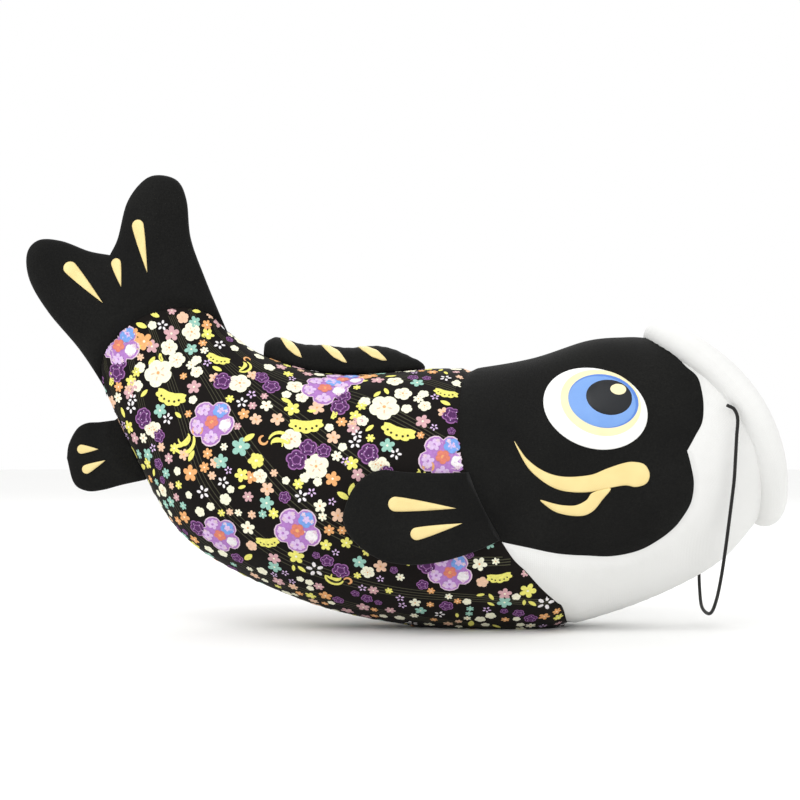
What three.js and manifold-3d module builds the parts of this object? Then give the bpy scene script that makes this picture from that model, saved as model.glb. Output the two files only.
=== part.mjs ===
// A stuffed carp cushion: fabric covers over a polyester filling, with padded fins sewn on.
// Millimetres, +Z up, head towards +X, the carp's right side towards -Y, standing on its belly.
import * as THREE from 'three';
import { ParametricGeometry } from 'three/addons/geometries/ParametricGeometry.js';
import { mergeVertices } from 'three/addons/utils/BufferGeometryUtils.js';
import Module from 'manifold-3d';

const wasm = await Module();
wasm.setup();

// ---- driving dimensions ----
// Body stations from tail to mouth: back seam x, z, belly seam x, z, half width.
const stations = [
  [-177, 298, -300, 240, 26],
  [-141, 272, -272, 178, 55],
  [-103, 259, -231, 103, 78],
  [-61, 253.5, -169, 55, 90],
  [-18, 255, -98, 25, 97],
  [27, 257.5, -23, 5, 101],
  [72, 258.5, 57, -4, 103],
  [127, 269, 137, -4, 106],
  [182, 286, 209, 13, 107],
  [222, 289, 272, 39, 103],
  [240, 289, 323, 70, 96],
  [257, 289, 361, 115, 84],
];
const tailDomeHeight = 44; // how far the torso's rear panel edge bows into the tail
const coverThickness = 2.5; // fabric with its quilted backing
const seamGap = 0.4;
const mouthBulge = 28; // the lips stand this far forward at the cheeks
const mouthBulgeStart = 8; // the station where the bulge begins
const mouthDepth = 16; // the lining dishes in this far
const lipRadius = 16;
const stitchHeight = 1.4; // raised satin stitch
const reach = 160; // past the body on either side, for cutting
const bodyRows = 26;
const domeRows = 4;
const mouthRows = 3;
const bodySides = 24;

const pectoralRootY = 112; // the middle of the fin's thickness, from the centre plane
const pectoralTipY = 107;
const pectoralHalfThickness = 8;
const dorsalHeight = 52;
const dorsalHalfThickness = 8;
const analHalfThickness = 9;
const tailHalfThickness = 20;
const tailEdgeRadius = 12;
const tailEdgeInset = 7; // the flat faces stop this far inside the outline
const pinchedEdge = 3; // half thickness where a fin is sewn on
const whiskerDiameter = 3.5;

// ---- outlines, x and z in the side view ----
const capRearEdge = [[66, 300], [58, 245], [54, 208], [56, 175], [61, 153], [68, 137], [80, 115], [94, 90]];
const capLowerEdge = [[121, 84], [150, 78], [200, 75], [226, 80], [245, 90], [260, 102], [269, 114], [276, 128],
  [278, 146], [275, 164]];
const capFrontEdge = [[271, 179], [279, 192], [286, 205], [288, 220], [287, 235], [283, 250], [272, 263],
  [262, 276], [250, 286], [234, 310]];
const hem = [[106, 72], [118, 60], [133, 43], [149, 28], [155, 22], [162, 5], [166, -20]];
const tailRoot = [-299, 239];
const tailLowerLobe = [[-323, 276], [-354, 313], [-373, 345], [-376, 372], [-364, 386], [-341, 385], [-314, 375],
  [-293, 371]];
const tailUpperLobe = [[-285, 388], [-276, 423], [-260, 445], [-244, 451], [-225, 445], [-216, 425], [-212, 388],
  [-199, 351], [-178, 299]];
const pectoralTop = [[60, 156], [31, 157], [0, 158], [-18, 160], [-34, 155], [-48, 141], [-56, 121], [-57, 112]];
const pectoralBottom = [[89, 91], [63, 81], [36, 73], [8, 70], [-19, 74], [-40, 86], [-53, 101], [-57, 112]];
const analTop = [[-288, 206], [-303, 204], [-316, 203], [-326, 197], [-334, 182], [-336, 168]];
const analBottom = [[-258, 146], [-281, 141], [-300, 136], [-316, 135], [-329, 143], [-336, 168]];
const dorsalHeights = [0.42, 0.8, 0.98, 0.92, 1.0, 1.04, 0.98, 1.03, 0.92, 0.42];
// Marks: each is a teardrop from a round head to a pointed tip, head x, z, tip x, z, head radius.
const tailDrops = [[-330, 357, -297, 322, 6.5], [-285, 362, -279, 338, 5], [-263, 399, -253, 352, 6]];
const pectoralDrops = [[-8, 125, 50, 115, 7], [12, 94, 56, 103, 6]];
const analDrops = [[-320, 177, -303, 177, 4.5], [-315, 157, -296, 166, 4.5]];
const eyeCentre = [184, 219];
const eyeRadii = [51, 40];
const eyeTilt = -15;
const gillHook = [[106, 186], [123, 169], [149, 156], [180, 156], [215, 168], [226, 166], [232, 157], [226, 146],
  [207, 145], [179, 140], [145, 142], [131, 150], [117, 165]];
const gillBranch = [[187, 136], [180, 122], [172, 116], [145, 119], [130, 131], [154, 126], [166, 127], [178, 136]];

// Whisker cord, x, y, z: stitched into the right cheek, hanging under the chin to the left cheek.
const whiskerHalfRoute = [
  [310, -92, 221], [316, -95.5, 217], [318, -97, 208], [317, -97.5, 192], [316, -97, 172], [315, -95.5, 150],
  [313, -93, 128], [311, -88, 104], [309, -80, 78], [307, -68, 52], [305.5, -51, 31], [304.5, -28, 17],
];
const whiskerLowest = [304, 0, 13];

// ---- helpers ----
const material = (color, roughness = 0.9) => new THREE.MeshStandardMaterial({ color, roughness, metalness: 0 });
const blackCloth = '#232321';
const whiteCloth = '#fbfbf8';
const goldThread = '#ebd48b';
const fish = new THREE.Group();

function addNode(name, geometry, color, roughness) {
  const mesh = new THREE.Mesh(geometry, material(color, roughness));
  mesh.name = name;
  fish.add(mesh);
}

// Welds a geometry, drops the flattened triangles at its poles and turns its faces outwards.
function weld(geometry) {
  const loose = geometry.index ? geometry.toNonIndexed() : geometry.clone();
  loose.deleteAttribute('normal');
  loose.deleteAttribute('uv');
  const merged = mergeVertices(loose, 1e-3);
  const index = merged.index.array;
  const points = merged.attributes.position;
  const [a, b, c] = [new THREE.Vector3(), new THREE.Vector3(), new THREE.Vector3()];
  const kept = [];
  let volume = 0;
  for (let k = 0; k < index.length; k += 3) {
    const corners = [index[k], index[k + 1], index[k + 2]];
    if (new Set(corners).size < 3) continue;
    kept.push(...corners);
    a.fromBufferAttribute(points, corners[0]);
    b.fromBufferAttribute(points, corners[1]);
    c.fromBufferAttribute(points, corners[2]);
    volume += a.dot(b.cross(c));
  }
  merged.setIndex(volume < 0 ? kept.reverse() : kept);
  return merged;
}

function toSolid(geometry) {
  const welded = weld(geometry);
  const mesh = new wasm.Mesh({
    numProp: 3,
    vertProperties: new Float32Array(welded.attributes.position.array),
    triVerts: new Uint32Array(welded.index.array),
  });
  return new wasm.Manifold(mesh);
}

function toGeometry(solid) {
  const mesh = solid.getMesh();
  const geometry = new THREE.BufferGeometry();
  geometry.setAttribute('position', new THREE.BufferAttribute(mesh.vertProperties, 3));
  geometry.setIndex(new THREE.BufferAttribute(mesh.triVerts, 1));
  geometry.computeVertexNormals();
  return geometry;
}

// A solid whose surface is point(u, v), closed round v and gathered to a point at both ends of u.
function surfaceSolid(point, rows, sides) {
  return toSolid(new ParametricGeometry((u, v, target) => point(u, v === 1 ? 0 : v, target), rows, sides));
}

// A side-view outline carried along Y from y0 to y1.
function prism(points, y0, y1) {
  const shape = new THREE.Shape(points.map(([x, z]) => new THREE.Vector2(x, z)));
  const geometry = new THREE.ExtrudeGeometry(shape, { depth: y1 - y0, bevelEnabled: false });
  geometry.rotateX(Math.PI / 2);
  geometry.translate(0, y1, 0);
  return toSolid(geometry);
}

const biggest = (solid) => solid.decompose().sort((p, q) => q.volume() - p.volume())[0];
const shifted = (points, dx, dz) => points.map(([x, z]) => [x + dx, z + dz]);

// Points grown away from their middle, so that a neighbour cut with them keeps clear.
function grown(points, factor) {
  const cx = points.reduce((sum, p) => sum + p[0], 0) / points.length;
  const cz = points.reduce((sum, p) => sum + p[1], 0) / points.length;
  return points.map(([x, z]) => [cx + (x - cx) * factor, cz + (z - cz) * factor]);
}

// ---- body surface ----
const backSeam = new THREE.CatmullRomCurve3(stations.map((s) => new THREE.Vector3(s[0], 0, s[1])), false,
  'catmullrom');
const bellySeam = new THREE.CatmullRomCurve3(stations.map((s) => new THREE.Vector3(s[2], 0, s[3])), false,
  'catmullrom');
const widths = new THREE.CatmullRomCurve3(stations.map((s) => new THREE.Vector3(s[4], 0, 0)), false,
  'catmullrom');

// The section at t: its middle, its half chord from belly to back, and its half width, all cut down by inset.
function section(t, inset) {
  const back = backSeam.getPoint(t);
  const belly = bellySeam.getPoint(t);
  const half = back.clone().sub(belly).multiplyScalar(0.5);
  const middle = back.add(belly).multiplyScalar(0.5);
  half.setLength(half.length() - inset);
  return { middle, half, width: widths.getPoint(t).x - inset };
}

// One row of the body: a stretch angle bows the rear dome, and a mouth factor shrinks the lining to its middle.
function bodyPoint(row, v, inset, target) {
  const angle = v * 2 * Math.PI;
  const rows = domeRows + bodyRows + mouthRows;
  const step = Math.round(row * rows);
  const dome = step < domeRows ? (1 - step / domeRows) * Math.PI / 2 : 0;
  const t = THREE.MathUtils.clamp((step - domeRows) / bodyRows, 0, 1);
  const mouth = Math.max(0, step - domeRows - bodyRows) / mouthRows;
  const { middle, half, width } = section(t, inset);
  const forward = new THREE.Vector3(half.z, 0, -half.x).normalize();
  const along = Math.cos(dome) * (1 - mouth);
  const bulge = mouthBulge * THREE.MathUtils.clamp((t * (stations.length - 1) - mouthBulgeStart) / 3, 0, 1) ** 2;
  const push = bulge * (Math.sin(angle) * (1 - mouth)) ** 2 - mouthDepth * (1 - (1 - mouth) ** 2)
    - (tailDomeHeight - inset) * Math.sin(dome) - (mouth > 0 || t === 1 ? inset : 0);
  target.copy(middle)
    .addScaledVector(half, Math.cos(angle) * along)
    .addScaledVector(forward, push);
  target.y = -width * Math.sin(angle) * (1 - mouth) * Math.cos(dome) ** 0.6;
  target.z = Math.max(target.z, inset);
}

function bodySolid(inset) {
  return surfaceSolid((u, v, target) => bodyPoint(u, v, inset, target), domeRows + bodyRows + mouthRows, bodySides);
}

// The stuffed lip: a round roll along the rim of the mouth.
function lipSolid(radius) {
  const rim = section(1, 0);
  const forward = new THREE.Vector3(rim.half.z, 0, -rim.half.x).normalize();
  const centre = (u) => {
    const angle = u * 2 * Math.PI;
    const place = rim.middle.clone()
      .addScaledVector(rim.half, Math.cos(angle))
      .addScaledVector(forward, mouthBulge * Math.sin(angle) ** 2);
    place.y = -rim.width * Math.sin(angle);
    return place;
  };
  return surfaceSolid((u, v, target) => {
    const around = (u === 1 ? 0 : u);
    const place = centre(around);
    const ahead = centre(around + 0.01).sub(centre(around - 0.01)).normalize();
    const outward = new THREE.Vector3().crossVectors(ahead, forward).normalize();
    const lift = new THREE.Vector3().crossVectors(outward, ahead);
    target.copy(place)
      .addScaledVector(outward, radius * Math.cos(v * 2 * Math.PI))
      .addScaledVector(lift, radius * Math.sin(v * 2 * Math.PI));
  }, 30, 10);
}

// ---- fins ----
const spline2 = (points) => new THREE.SplineCurve(points.map(([x, z]) => new THREE.Vector2(x, z)));

// A padded flap between a top and a bottom edge that run from its root and meet at its tip.
function flapSolid(topEdge, bottomEdge, rootY, tipY, halfThickness, grow) {
  const top = spline2(topEdge);
  const bottom = spline2(bottomEdge);
  const rows = 12;
  return surfaceSolid((u, v, target) => {
    const step = Math.round(u * rows);
    const s = Math.max(0, step - 1) / (rows - 1);
    const across = step === 0 ? 0.5 : (1 - Math.cos(v * 2 * Math.PI)) / 2;
    const place = top.getPoint(s).lerp(bottom.getPoint(s), across);
    const plump = pinchedEdge + (halfThickness - pinchedEdge) * Math.min(1, s / 0.3);
    const side = step === 0 ? 0 : Math.sin(v * 2 * Math.PI);
    const round = Math.sqrt(Math.max(0, 1 - s ** 6));
    const midY = THREE.MathUtils.lerp(rootY, tipY, s);
    target.set(place.x, midY + (plump + grow) * side * round, place.y);
  }, rows, 16);
}

// The back fin: a wavy padded flap on the back seam that flops over to the left side.
function dorsalSolid(grow) {
  const rows = dorsalHeights.length + 1;
  const waves = new THREE.CatmullRomCurve3(dorsalHeights.map((h) => new THREE.Vector3(h, 0, 0)));
  return surfaceSolid((u, v, target) => {
    const step = Math.round(u * rows);
    const s = THREE.MathUtils.clamp((step - 1) / (rows - 2), 0, 1);
    const pole = step === 0 || step === rows;
    const across = pole ? 0.5 : (1 - Math.cos(v * 2 * Math.PI)) / 2;
    const height = waves.getPoint(s).x * dorsalHeight;
    const root = backSeam.getPoint(0.095 + s * 0.35);
    const [run, rise] = [0.45 + 0.8 * across, 0.88 - 0.72 * across];
    const length = Math.hypot(run, rise);
    const plump = pinchedEdge + (dorsalHalfThickness - pinchedEdge) * Math.min(1, across / 0.4);
    const side = pole ? 0 : Math.sin(v * 2 * Math.PI) * (plump + grow);
    target.set(
      root.x,
      height * (0.45 * across + 0.4 * across ** 2) - side * rise / length,
      root.z + 3.5 + height * (0.88 * across - 0.36 * across ** 2) + side * run / length,
    );
  }, rows, 14);
}

// The tail: a two-lobed padded fin with a rounded edge.
function tailSolid(grow) {
  const shape = new THREE.Shape();
  const vectors = (points) => points.map(([x, z]) => new THREE.Vector2(x, z));
  shape.moveTo(...tailRoot);
  shape.splineThru(vectors(tailLowerLobe));
  shape.splineThru(vectors(tailUpperLobe));
  const geometry = new THREE.ExtrudeGeometry(shape, {
    depth: 2 * (tailHalfThickness + grow - tailEdgeRadius),
    curveSegments: 2,
    bevelSize: tailEdgeInset,
    bevelOffset: -tailEdgeInset,
    bevelThickness: tailEdgeRadius,
    bevelSegments: 3,
  });
  geometry.rotateX(Math.PI / 2);
  geometry.translate(0, tailHalfThickness + grow - tailEdgeRadius, 0);
  return toSolid(geometry);
}

// ---- stitched marks ----
// A teardrop: a half circle round the head, then straight sides to the tip.
function teardrop([headX, headZ, tipX, tipZ, radius]) {
  const heading = Math.atan2(tipZ - headZ, tipX - headX);
  const turns = [90, 120, 150, 180, 210, 240, 270];
  const head = turns.map((turn) => {
    const angle = heading + THREE.MathUtils.degToRad(turn);
    return [headX + radius * Math.cos(angle), headZ + radius * Math.sin(angle)];
  });
  return [...head, [tipX, tipZ]];
}

function ellipse([cx, cz], [a, b], tiltDegrees, count = 24) {
  const tilt = THREE.MathUtils.degToRad(tiltDegrees);
  return Array.from({ length: count }, (_, k) => {
    const angle = 2 * Math.PI * k / count;
    const [p, q] = [a * Math.cos(angle), b * Math.sin(angle)];
    return [cx + p * Math.cos(tilt) - q * Math.sin(tilt), cz + p * Math.sin(tilt) + q * Math.cos(tilt)];
  });
}

// The thin layer of thread on one side (-1 right, 1 left) of a solid that grow can thicken.
function stitched(solidGrownBy, outline, side) {
  const layer = solidGrownBy(seamGap + stitchHeight).subtract(solidGrownBy(seamGap));
  const cut = side < 0 ? prism(outline, -reach, -1) : prism(outline, 1, reach);
  return toGeometry(biggest(layer.intersect(cut)));
}

const sides = [['right', -1], ['left', 1]];

// ---- body pieces ----
// The lip's groove parts the shell into the covers behind it and the mouth lining inside it.
const lipCutter = lipSolid(lipRadius + seamGap);
const [shell, mouthLining] = bodySolid(0)
  .subtract(bodySolid(coverThickness))
  .subtract(lipCutter)
  .decompose()
  .sort((p, q) => q.volume() - p.volume());
const torsoOutline = [[-420, 420], [66, 420], ...capRearEdge, ...hem, [-420, -20]];
const capOutline = [...capRearEdge, ...capLowerEdge, ...capFrontEdge];
const torsoCutter = prism(shifted(torsoOutline, seamGap, 0), -reach, reach);

addNode('torso_cover', toGeometry(biggest(shell.intersect(prism(torsoOutline, -reach, reach)))), '#3a3133');
addNode('head_cap', toGeometry(biggest(
  shell.intersect(prism(capOutline, -reach, reach)).subtract(torsoCutter))), blackCloth);
addNode('face_cover', toGeometry(biggest(
  shell.subtract(torsoCutter).subtract(prism(grown(capOutline, 1.007), -reach, reach)))), whiteCloth);
addNode('mouth_lining', toGeometry(mouthLining), whiteCloth);
addNode('lip_roll', toGeometry(lipSolid(lipRadius)), whiteCloth);
addNode('body_filling', toGeometry(biggest(
  bodySolid(coverThickness + seamGap).subtract(lipCutter))), '#f4f2ec');

addNode('tail_fin', toGeometry(biggest(tailSolid(0).subtract(bodySolid(-seamGap)))), blackCloth);
addNode('dorsal_fin', toGeometry(dorsalSolid(0)), blackCloth);
addNode('anal_fin', toGeometry(flapSolid(analTop, analBottom, 0, 0, analHalfThickness, 0)), blackCloth);

// ---- side pieces, one of each on either side ----
for (const [sideName, side] of sides) {
  const fin = (grow) => flapSolid(
    pectoralTop, pectoralBottom, side * pectoralRootY, side * pectoralTipY, pectoralHalfThickness, grow);
  addNode(`pectoral_fin_${sideName}`, toGeometry(fin(0)), blackCloth);
  const bodyGrown = (grow) => bodySolid(-grow);
  addNode(`eye_patch_${sideName}`, stitched(bodyGrown, ellipse(eyeCentre, eyeRadii, eyeTilt), side), '#6f9be3', 0.6);
  addNode(`gill_hook_${sideName}`, stitched(bodyGrown, gillHook, side), goldThread, 0.5);
  addNode(`gill_branch_${sideName}`, stitched(bodyGrown, gillBranch, side), goldThread, 0.5);
  const analFin = (grow) => flapSolid(analTop, analBottom, 0, 0, analHalfThickness, grow);
  const marks = [
    ['tail_drop', tailDrops, tailSolid],
    ['pectoral_drop', pectoralDrops, fin],
    ['anal_drop', analDrops, analFin],
  ];
  for (const [markName, drops, solidGrownBy] of marks) {
    drops.forEach((drop, k) => {
      addNode(`${markName}_${k + 1}_${sideName}`, stitched(solidGrownBy, teardrop(drop), side), goldThread, 0.5);
    });
  }
}

// ---- whisker cord ----
const otherHalf = whiskerHalfRoute.map(([x, y, z]) => [x - 0.02 * (y + 100), -y, z]).reverse();
const whiskerRoute = [...whiskerHalfRoute, whiskerLowest, ...otherHalf];
const whiskerPath = new THREE.CatmullRomCurve3(whiskerRoute.map((p) => new THREE.Vector3(...p)), false, 'centripetal');
const whiskerSection = new THREE.Shape(Array.from({ length: 8 }, (_, k) => {
  const angle = 2 * Math.PI * k / 8;
  return new THREE.Vector2(whiskerDiameter / 2 * Math.cos(angle), whiskerDiameter / 2 * Math.sin(angle));
}));
addNode('whisker_cord', weld(new THREE.ExtrudeGeometry(whiskerSection, { steps: 72, extrudePath: whiskerPath })),
  '#1c1b1a');

export default fish;
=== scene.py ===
import math

import bmesh
import bpy
import numpy as np
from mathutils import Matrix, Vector
from mathutils.geometry import delaunay_2d_cdt
from mathutils.kdtree import KDTree


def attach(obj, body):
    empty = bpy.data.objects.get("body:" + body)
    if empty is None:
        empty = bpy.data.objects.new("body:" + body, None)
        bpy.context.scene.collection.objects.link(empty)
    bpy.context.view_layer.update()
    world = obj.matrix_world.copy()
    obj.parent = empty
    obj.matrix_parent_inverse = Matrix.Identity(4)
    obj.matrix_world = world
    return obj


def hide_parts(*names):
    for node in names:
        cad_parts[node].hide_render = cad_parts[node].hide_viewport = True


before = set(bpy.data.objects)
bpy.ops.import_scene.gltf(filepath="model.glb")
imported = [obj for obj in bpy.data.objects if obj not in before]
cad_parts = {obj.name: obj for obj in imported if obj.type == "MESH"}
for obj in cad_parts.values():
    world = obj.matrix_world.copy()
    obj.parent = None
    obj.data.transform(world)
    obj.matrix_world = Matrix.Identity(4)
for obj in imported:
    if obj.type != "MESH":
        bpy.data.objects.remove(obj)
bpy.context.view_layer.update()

mm = 0.001  # outlines are in millimetres, finished meshes in metres
rng = np.random.default_rng(7)
print("frame loaded")


# camera, light and floor
studio = {
    "eye": (-2.8, -2000.0, 226.0),  # level with the middle of the cushion, two metres off its right side
    "lens": 90.0,
    "floorSize": 9.0,
    "white": "#FFFFFF",
    "lamps": [  # name, place in metres, size, power
        ("keyLight", (-1.0, -1.3, 2.0), 1.3, 20.0),
        ("fillLight", (1.5, -1.4, 1.0), 1.4, 4.0),
        ("backLight", (0.2, 1.6, 1.5), 1.4, 10.0),
    ],
    "aim": (0, 0, 0.2),
}


def linear(hexColour):
    # sRGB hex to linear: c/12.92 below 0.04045, else ((c + 0.055)/1.055)^2.4
    parts = np.array([int(hexColour[k:k + 2], 16) for k in (1, 3, 5)]) / 255.0
    low = parts / 12.92
    high = ((parts + 0.055) / 1.055) ** 2.4
    return tuple(np.where(parts <= 0.04045, low, high)) + (1.0,)


def put(material, kind, inputs=None, **settings):
    # adds a node; an input given as a socket is linked, any other value is set
    newNode = material.node_tree.nodes.new(kind)
    for key, value in settings.items():
        setattr(newNode, key, value)
    for key, value in (inputs or {}).items():
        if isinstance(value, bpy.types.NodeSocket):
            material.node_tree.links.new(value, newNode.inputs[key])
        else:
            newNode.inputs[key].default_value = value
    return newNode


def setStudio():
    cameraData = bpy.data.cameras.new("camera")
    cameraData.lens = studio["lens"]
    cameraData.sensor_width = 36.0
    cameraData.clip_end = 50.0
    camera = bpy.data.objects.new("camera", cameraData)
    camera.location = Vector(studio["eye"]) * mm
    camera.rotation_euler = (math.pi / 2, 0, 0)
    bpy.context.scene.collection.objects.link(camera)
    bpy.context.scene.camera = camera
    bpy.context.scene.view_settings.view_transform = "Standard"

    floorMesh = bpy.data.meshes.new("floor")
    half = studio["floorSize"] / 2
    corners = [(-half, -half, 0), (half, -half, 0), (half, half, 0), (-half, half, 0)]
    floorMesh.from_pydata(corners, [], [(0, 1, 2, 3)])
    floor = bpy.data.objects.new("floor", floorMesh)
    bpy.context.scene.collection.objects.link(floor)
    floorPaint = bpy.data.materials.new("paleFloor")
    floorPaint.use_nodes = True
    shader = floorPaint.node_tree.nodes["Principled BSDF"]
    shader.inputs["Base Color"].default_value = linear("#F6F6F5")
    shader.inputs["Roughness"].default_value = 0.9
    floorMesh.materials.append(floorPaint)

    world = bpy.data.worlds.new("softRoom")
    world.use_nodes = True
    background = world.node_tree.nodes["Background"]
    background.inputs["Color"].default_value = linear(studio["white"])
    background.inputs["Strength"].default_value = 1.0
    bpy.context.scene.world = world

    for name, place, size, power in studio["lamps"]:
        lampData = bpy.data.lights.new(name, "AREA")
        lampData.size = size
        lampData.energy = power
        lamp = bpy.data.objects.new(name, lampData)
        lamp.location = place
        aim = Vector(studio["aim"]) - Vector(place)
        lamp.rotation_euler = aim.to_track_quat("-Z", "Y").to_euler()
        bpy.context.scene.collection.objects.link(lamp)


setStudio()
print("studio set")


# whisker cord
whisker = {
    "diameter": 3.5,
    "sides": 14,
    "step": 0.9,
    "strands": 3,
    "pitch": 9.0,  # one full twist of the strands
    "half": [
        (309, -94, 221), (315, -99, 217), (318, -100, 208), (317, -100.5, 192), (316, -100, 172),
        (315, -98, 150), (313, -94.5, 128), (311, -88.5, 104), (309, -80, 78), (307, -68, 52),
        (305.5, -51, 31), (304.5, -28, 17),
    ],
    "lowest": (304, 0, 13),
    "drift": 0.02,  # the left strand hangs a little further back
}


def catmullRom(points, perSpan):
    # smooth curve through the points; each span has perSpan steps
    points = np.asarray(points, float)
    before = np.vstack([2 * points[0] - points[1], points[:-1]])
    after = np.vstack([points[1:], 2 * points[-1] - points[-2]])
    w = np.linspace(0, 1, perSpan, endpoint=False)[:, None]
    spans = []
    for k in range(len(points) - 1):
        p0, p1, p2, p3 = before[k], points[k], points[k + 1], after[k + 1]
        v0, v1 = (p2 - p0) / 2, (p3 - p1) / 2
        cubic, square = 2 * p1 - 2 * p2 + v0 + v1, 3 * p2 - 3 * p1 - 2 * v0 - v1
        spans.append(cubic * w ** 3 + square * w ** 2 + v0 * w + p1)
    return np.vstack(spans + [points[-1:]])


def evenSteps(path, step):
    # the same curve with points at equal distances
    lengths = np.concatenate([[0], np.cumsum(np.linalg.norm(np.diff(path, axis=0), axis=1))])
    wanted = np.linspace(0, lengths[-1], max(2, int(round(lengths[-1] / step)) + 1))
    return np.stack([np.interp(wanted, lengths, path[:, k]) for k in range(path.shape[1])], axis=1)


def unit(vectors):
    # each vector divided by its length
    return vectors / np.maximum(np.linalg.norm(vectors, axis=-1, keepdims=True), 1e-9)


def buildMesh(name, points, faces, material, uv=None, smooth=True):
    # points in millimetres; faces an (n, 3) or (n, 4) array or a list; uv one pair for each point
    mesh = bpy.data.meshes.new(name)
    faceList = faces.tolist() if isinstance(faces, np.ndarray) else faces
    mesh.from_pydata((np.asarray(points) * mm).tolist(), [], faceList)
    mesh.materials.append(material)
    if uv is not None:
        corner = np.empty(len(mesh.loops), int)
        mesh.loops.foreach_get("vertex_index", corner)
        layer = mesh.uv_layers.new(name="cloth")
        layer.data.foreach_set("uv", np.asarray(uv)[corner].astype(np.float32).ravel())
    mesh.polygons.foreach_set("use_smooth", np.full(len(mesh.polygons), smooth))
    mesh.update()
    piece = bpy.data.objects.new(name, mesh)
    bpy.context.scene.collection.objects.link(piece)
    return piece


def gridFaces(rows, columns, wrap=False):
    # quads of a rows x columns grid of points; wrap joins the last column to the first
    k = np.arange(columns if wrap else columns - 1)
    following = (k + 1) % columns
    r = np.arange(rows - 1)[:, None] * columns
    return np.stack([r + k, r + following, r + columns + following, r + columns + k], axis=-1).reshape(-1, 4)


def endCaps(rows, columns):
    # one face over each end of a wrapped grid
    return [list(range(columns))[::-1], [(rows - 1) * columns + k for k in range(columns)]]


def faceOutwards(piece):
    # merges doubles and turns every face outwards
    work = bmesh.new()
    work.from_mesh(piece.data)
    bmesh.ops.remove_doubles(work, verts=work.verts, dist=1e-6)
    bmesh.ops.recalc_face_normals(work, faces=work.faces)
    work.to_mesh(piece.data)
    work.free()


# cloths and threads
def newMaterial(name, roughness, sheen=0.0, sheenRoughness=0.5, specular=0.3):
    material = bpy.data.materials.new(name)
    material.use_nodes = True
    shader = material.node_tree.nodes["Principled BSDF"]
    shader.inputs["Roughness"].default_value = roughness
    shader.inputs["Sheen Weight"].default_value = sheen
    shader.inputs["Sheen Roughness"].default_value = sheenRoughness
    shader.inputs["Specular IOR Level"].default_value = specular
    return material, shader


waveScale = 314  # Scale of a wave texture whose crests stand 1 mm apart


def weave(material, vector, threadMm, detail=0.0):
    # over-and-under threads: the product of two sine waves at right angles, one crest per thread
    waves = []
    for direction in ("X", "Y"):
        waves.append(put(material, "ShaderNodeTexWave", {
            "Vector": vector, "Scale": waveScale / threadMm, "Distortion": detail,
        }, bands_direction=direction, wave_profile="SIN"))
    return put(material, "ShaderNodeMath", {0: waves[0].outputs["Fac"], 1: waves[1].outputs["Fac"]},
               operation="MULTIPLY")


def makeBlackCloth():
    # woven polyester amunzen: a dull, slightly pebbled weave with a faint fuzz at grazing angles;
    # its threads are drawn 1.6 mm apart, coarser than real ones, so that they show
    material, shader = newMaterial("blackAmunzen", 0.92, sheen=0.04, sheenRoughness=0.4, specular=0.1)
    place = put(material, "ShaderNodeTexCoord").outputs["Object"]
    cloud = put(material, "ShaderNodeTexNoise", {"Vector": place, "Scale": 14.0, "Detail": 4.0})
    pebble = put(material, "ShaderNodeTexNoise", {"Vector": place, "Scale": 520.0, "Detail": 2.0})
    tone = put(material, "ShaderNodeMath", {0: cloud.outputs["Fac"], 1: pebble.outputs["Fac"]},
               operation="MULTIPLY")
    ramp = put(material, "ShaderNodeMix", {"Factor": tone.outputs[0]}, data_type="RGBA")
    ramp.inputs[6].default_value = linear("#0E0E0E")
    ramp.inputs[7].default_value = linear("#282826")
    material.node_tree.links.new(ramp.outputs[2], shader.inputs["Base Color"])
    threads = weave(material, put(material, "ShaderNodeUVMap", uv_map="cloth").outputs["UV"], 1.6, 0.4)
    height = put(material, "ShaderNodeMath", {0: threads.outputs[0], 1: pebble.outputs["Fac"]},
                 operation="ADD")
    bump = put(material, "ShaderNodeBump", {"Height": height.outputs[0], "Strength": 0.35,
                                            "Distance": 0.0004})
    material.node_tree.links.new(bump.outputs["Normal"], shader.inputs["Normal"])
    return material


def makeWhiteCloth():
    # brushed white tricot: soft and matte with a downy surface; its ribs are drawn 1.5 mm apart to show
    material, shader = newMaterial("whiteTricot", 0.85, sheen=0.08, sheenRoughness=0.6, specular=0.15)
    place = put(material, "ShaderNodeTexCoord").outputs["Object"]
    cloud = put(material, "ShaderNodeTexNoise", {"Vector": place, "Scale": 9.0, "Detail": 3.0})
    ramp = put(material, "ShaderNodeMix", {"Factor": cloud.outputs["Fac"]}, data_type="RGBA")
    ramp.inputs[6].default_value = linear("#DADAD8")
    ramp.inputs[7].default_value = linear("#E8E8E6")
    material.node_tree.links.new(ramp.outputs[2], shader.inputs["Base Color"])
    ribs = weave(material, put(material, "ShaderNodeUVMap", uv_map="cloth").outputs["UV"], 1.5, 0.8)
    down = put(material, "ShaderNodeTexNoise", {"Vector": place, "Scale": 700.0, "Detail": 3.0})
    height = put(material, "ShaderNodeMath", {0: ribs.outputs[0], 1: down.outputs["Fac"]}, operation="ADD")
    bump = put(material, "ShaderNodeBump", {"Height": height.outputs[0], "Strength": 0.25,
                                            "Distance": 0.0004})
    material.node_tree.links.new(bump.outputs["Normal"], shader.inputs["Normal"])
    return material


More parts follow.
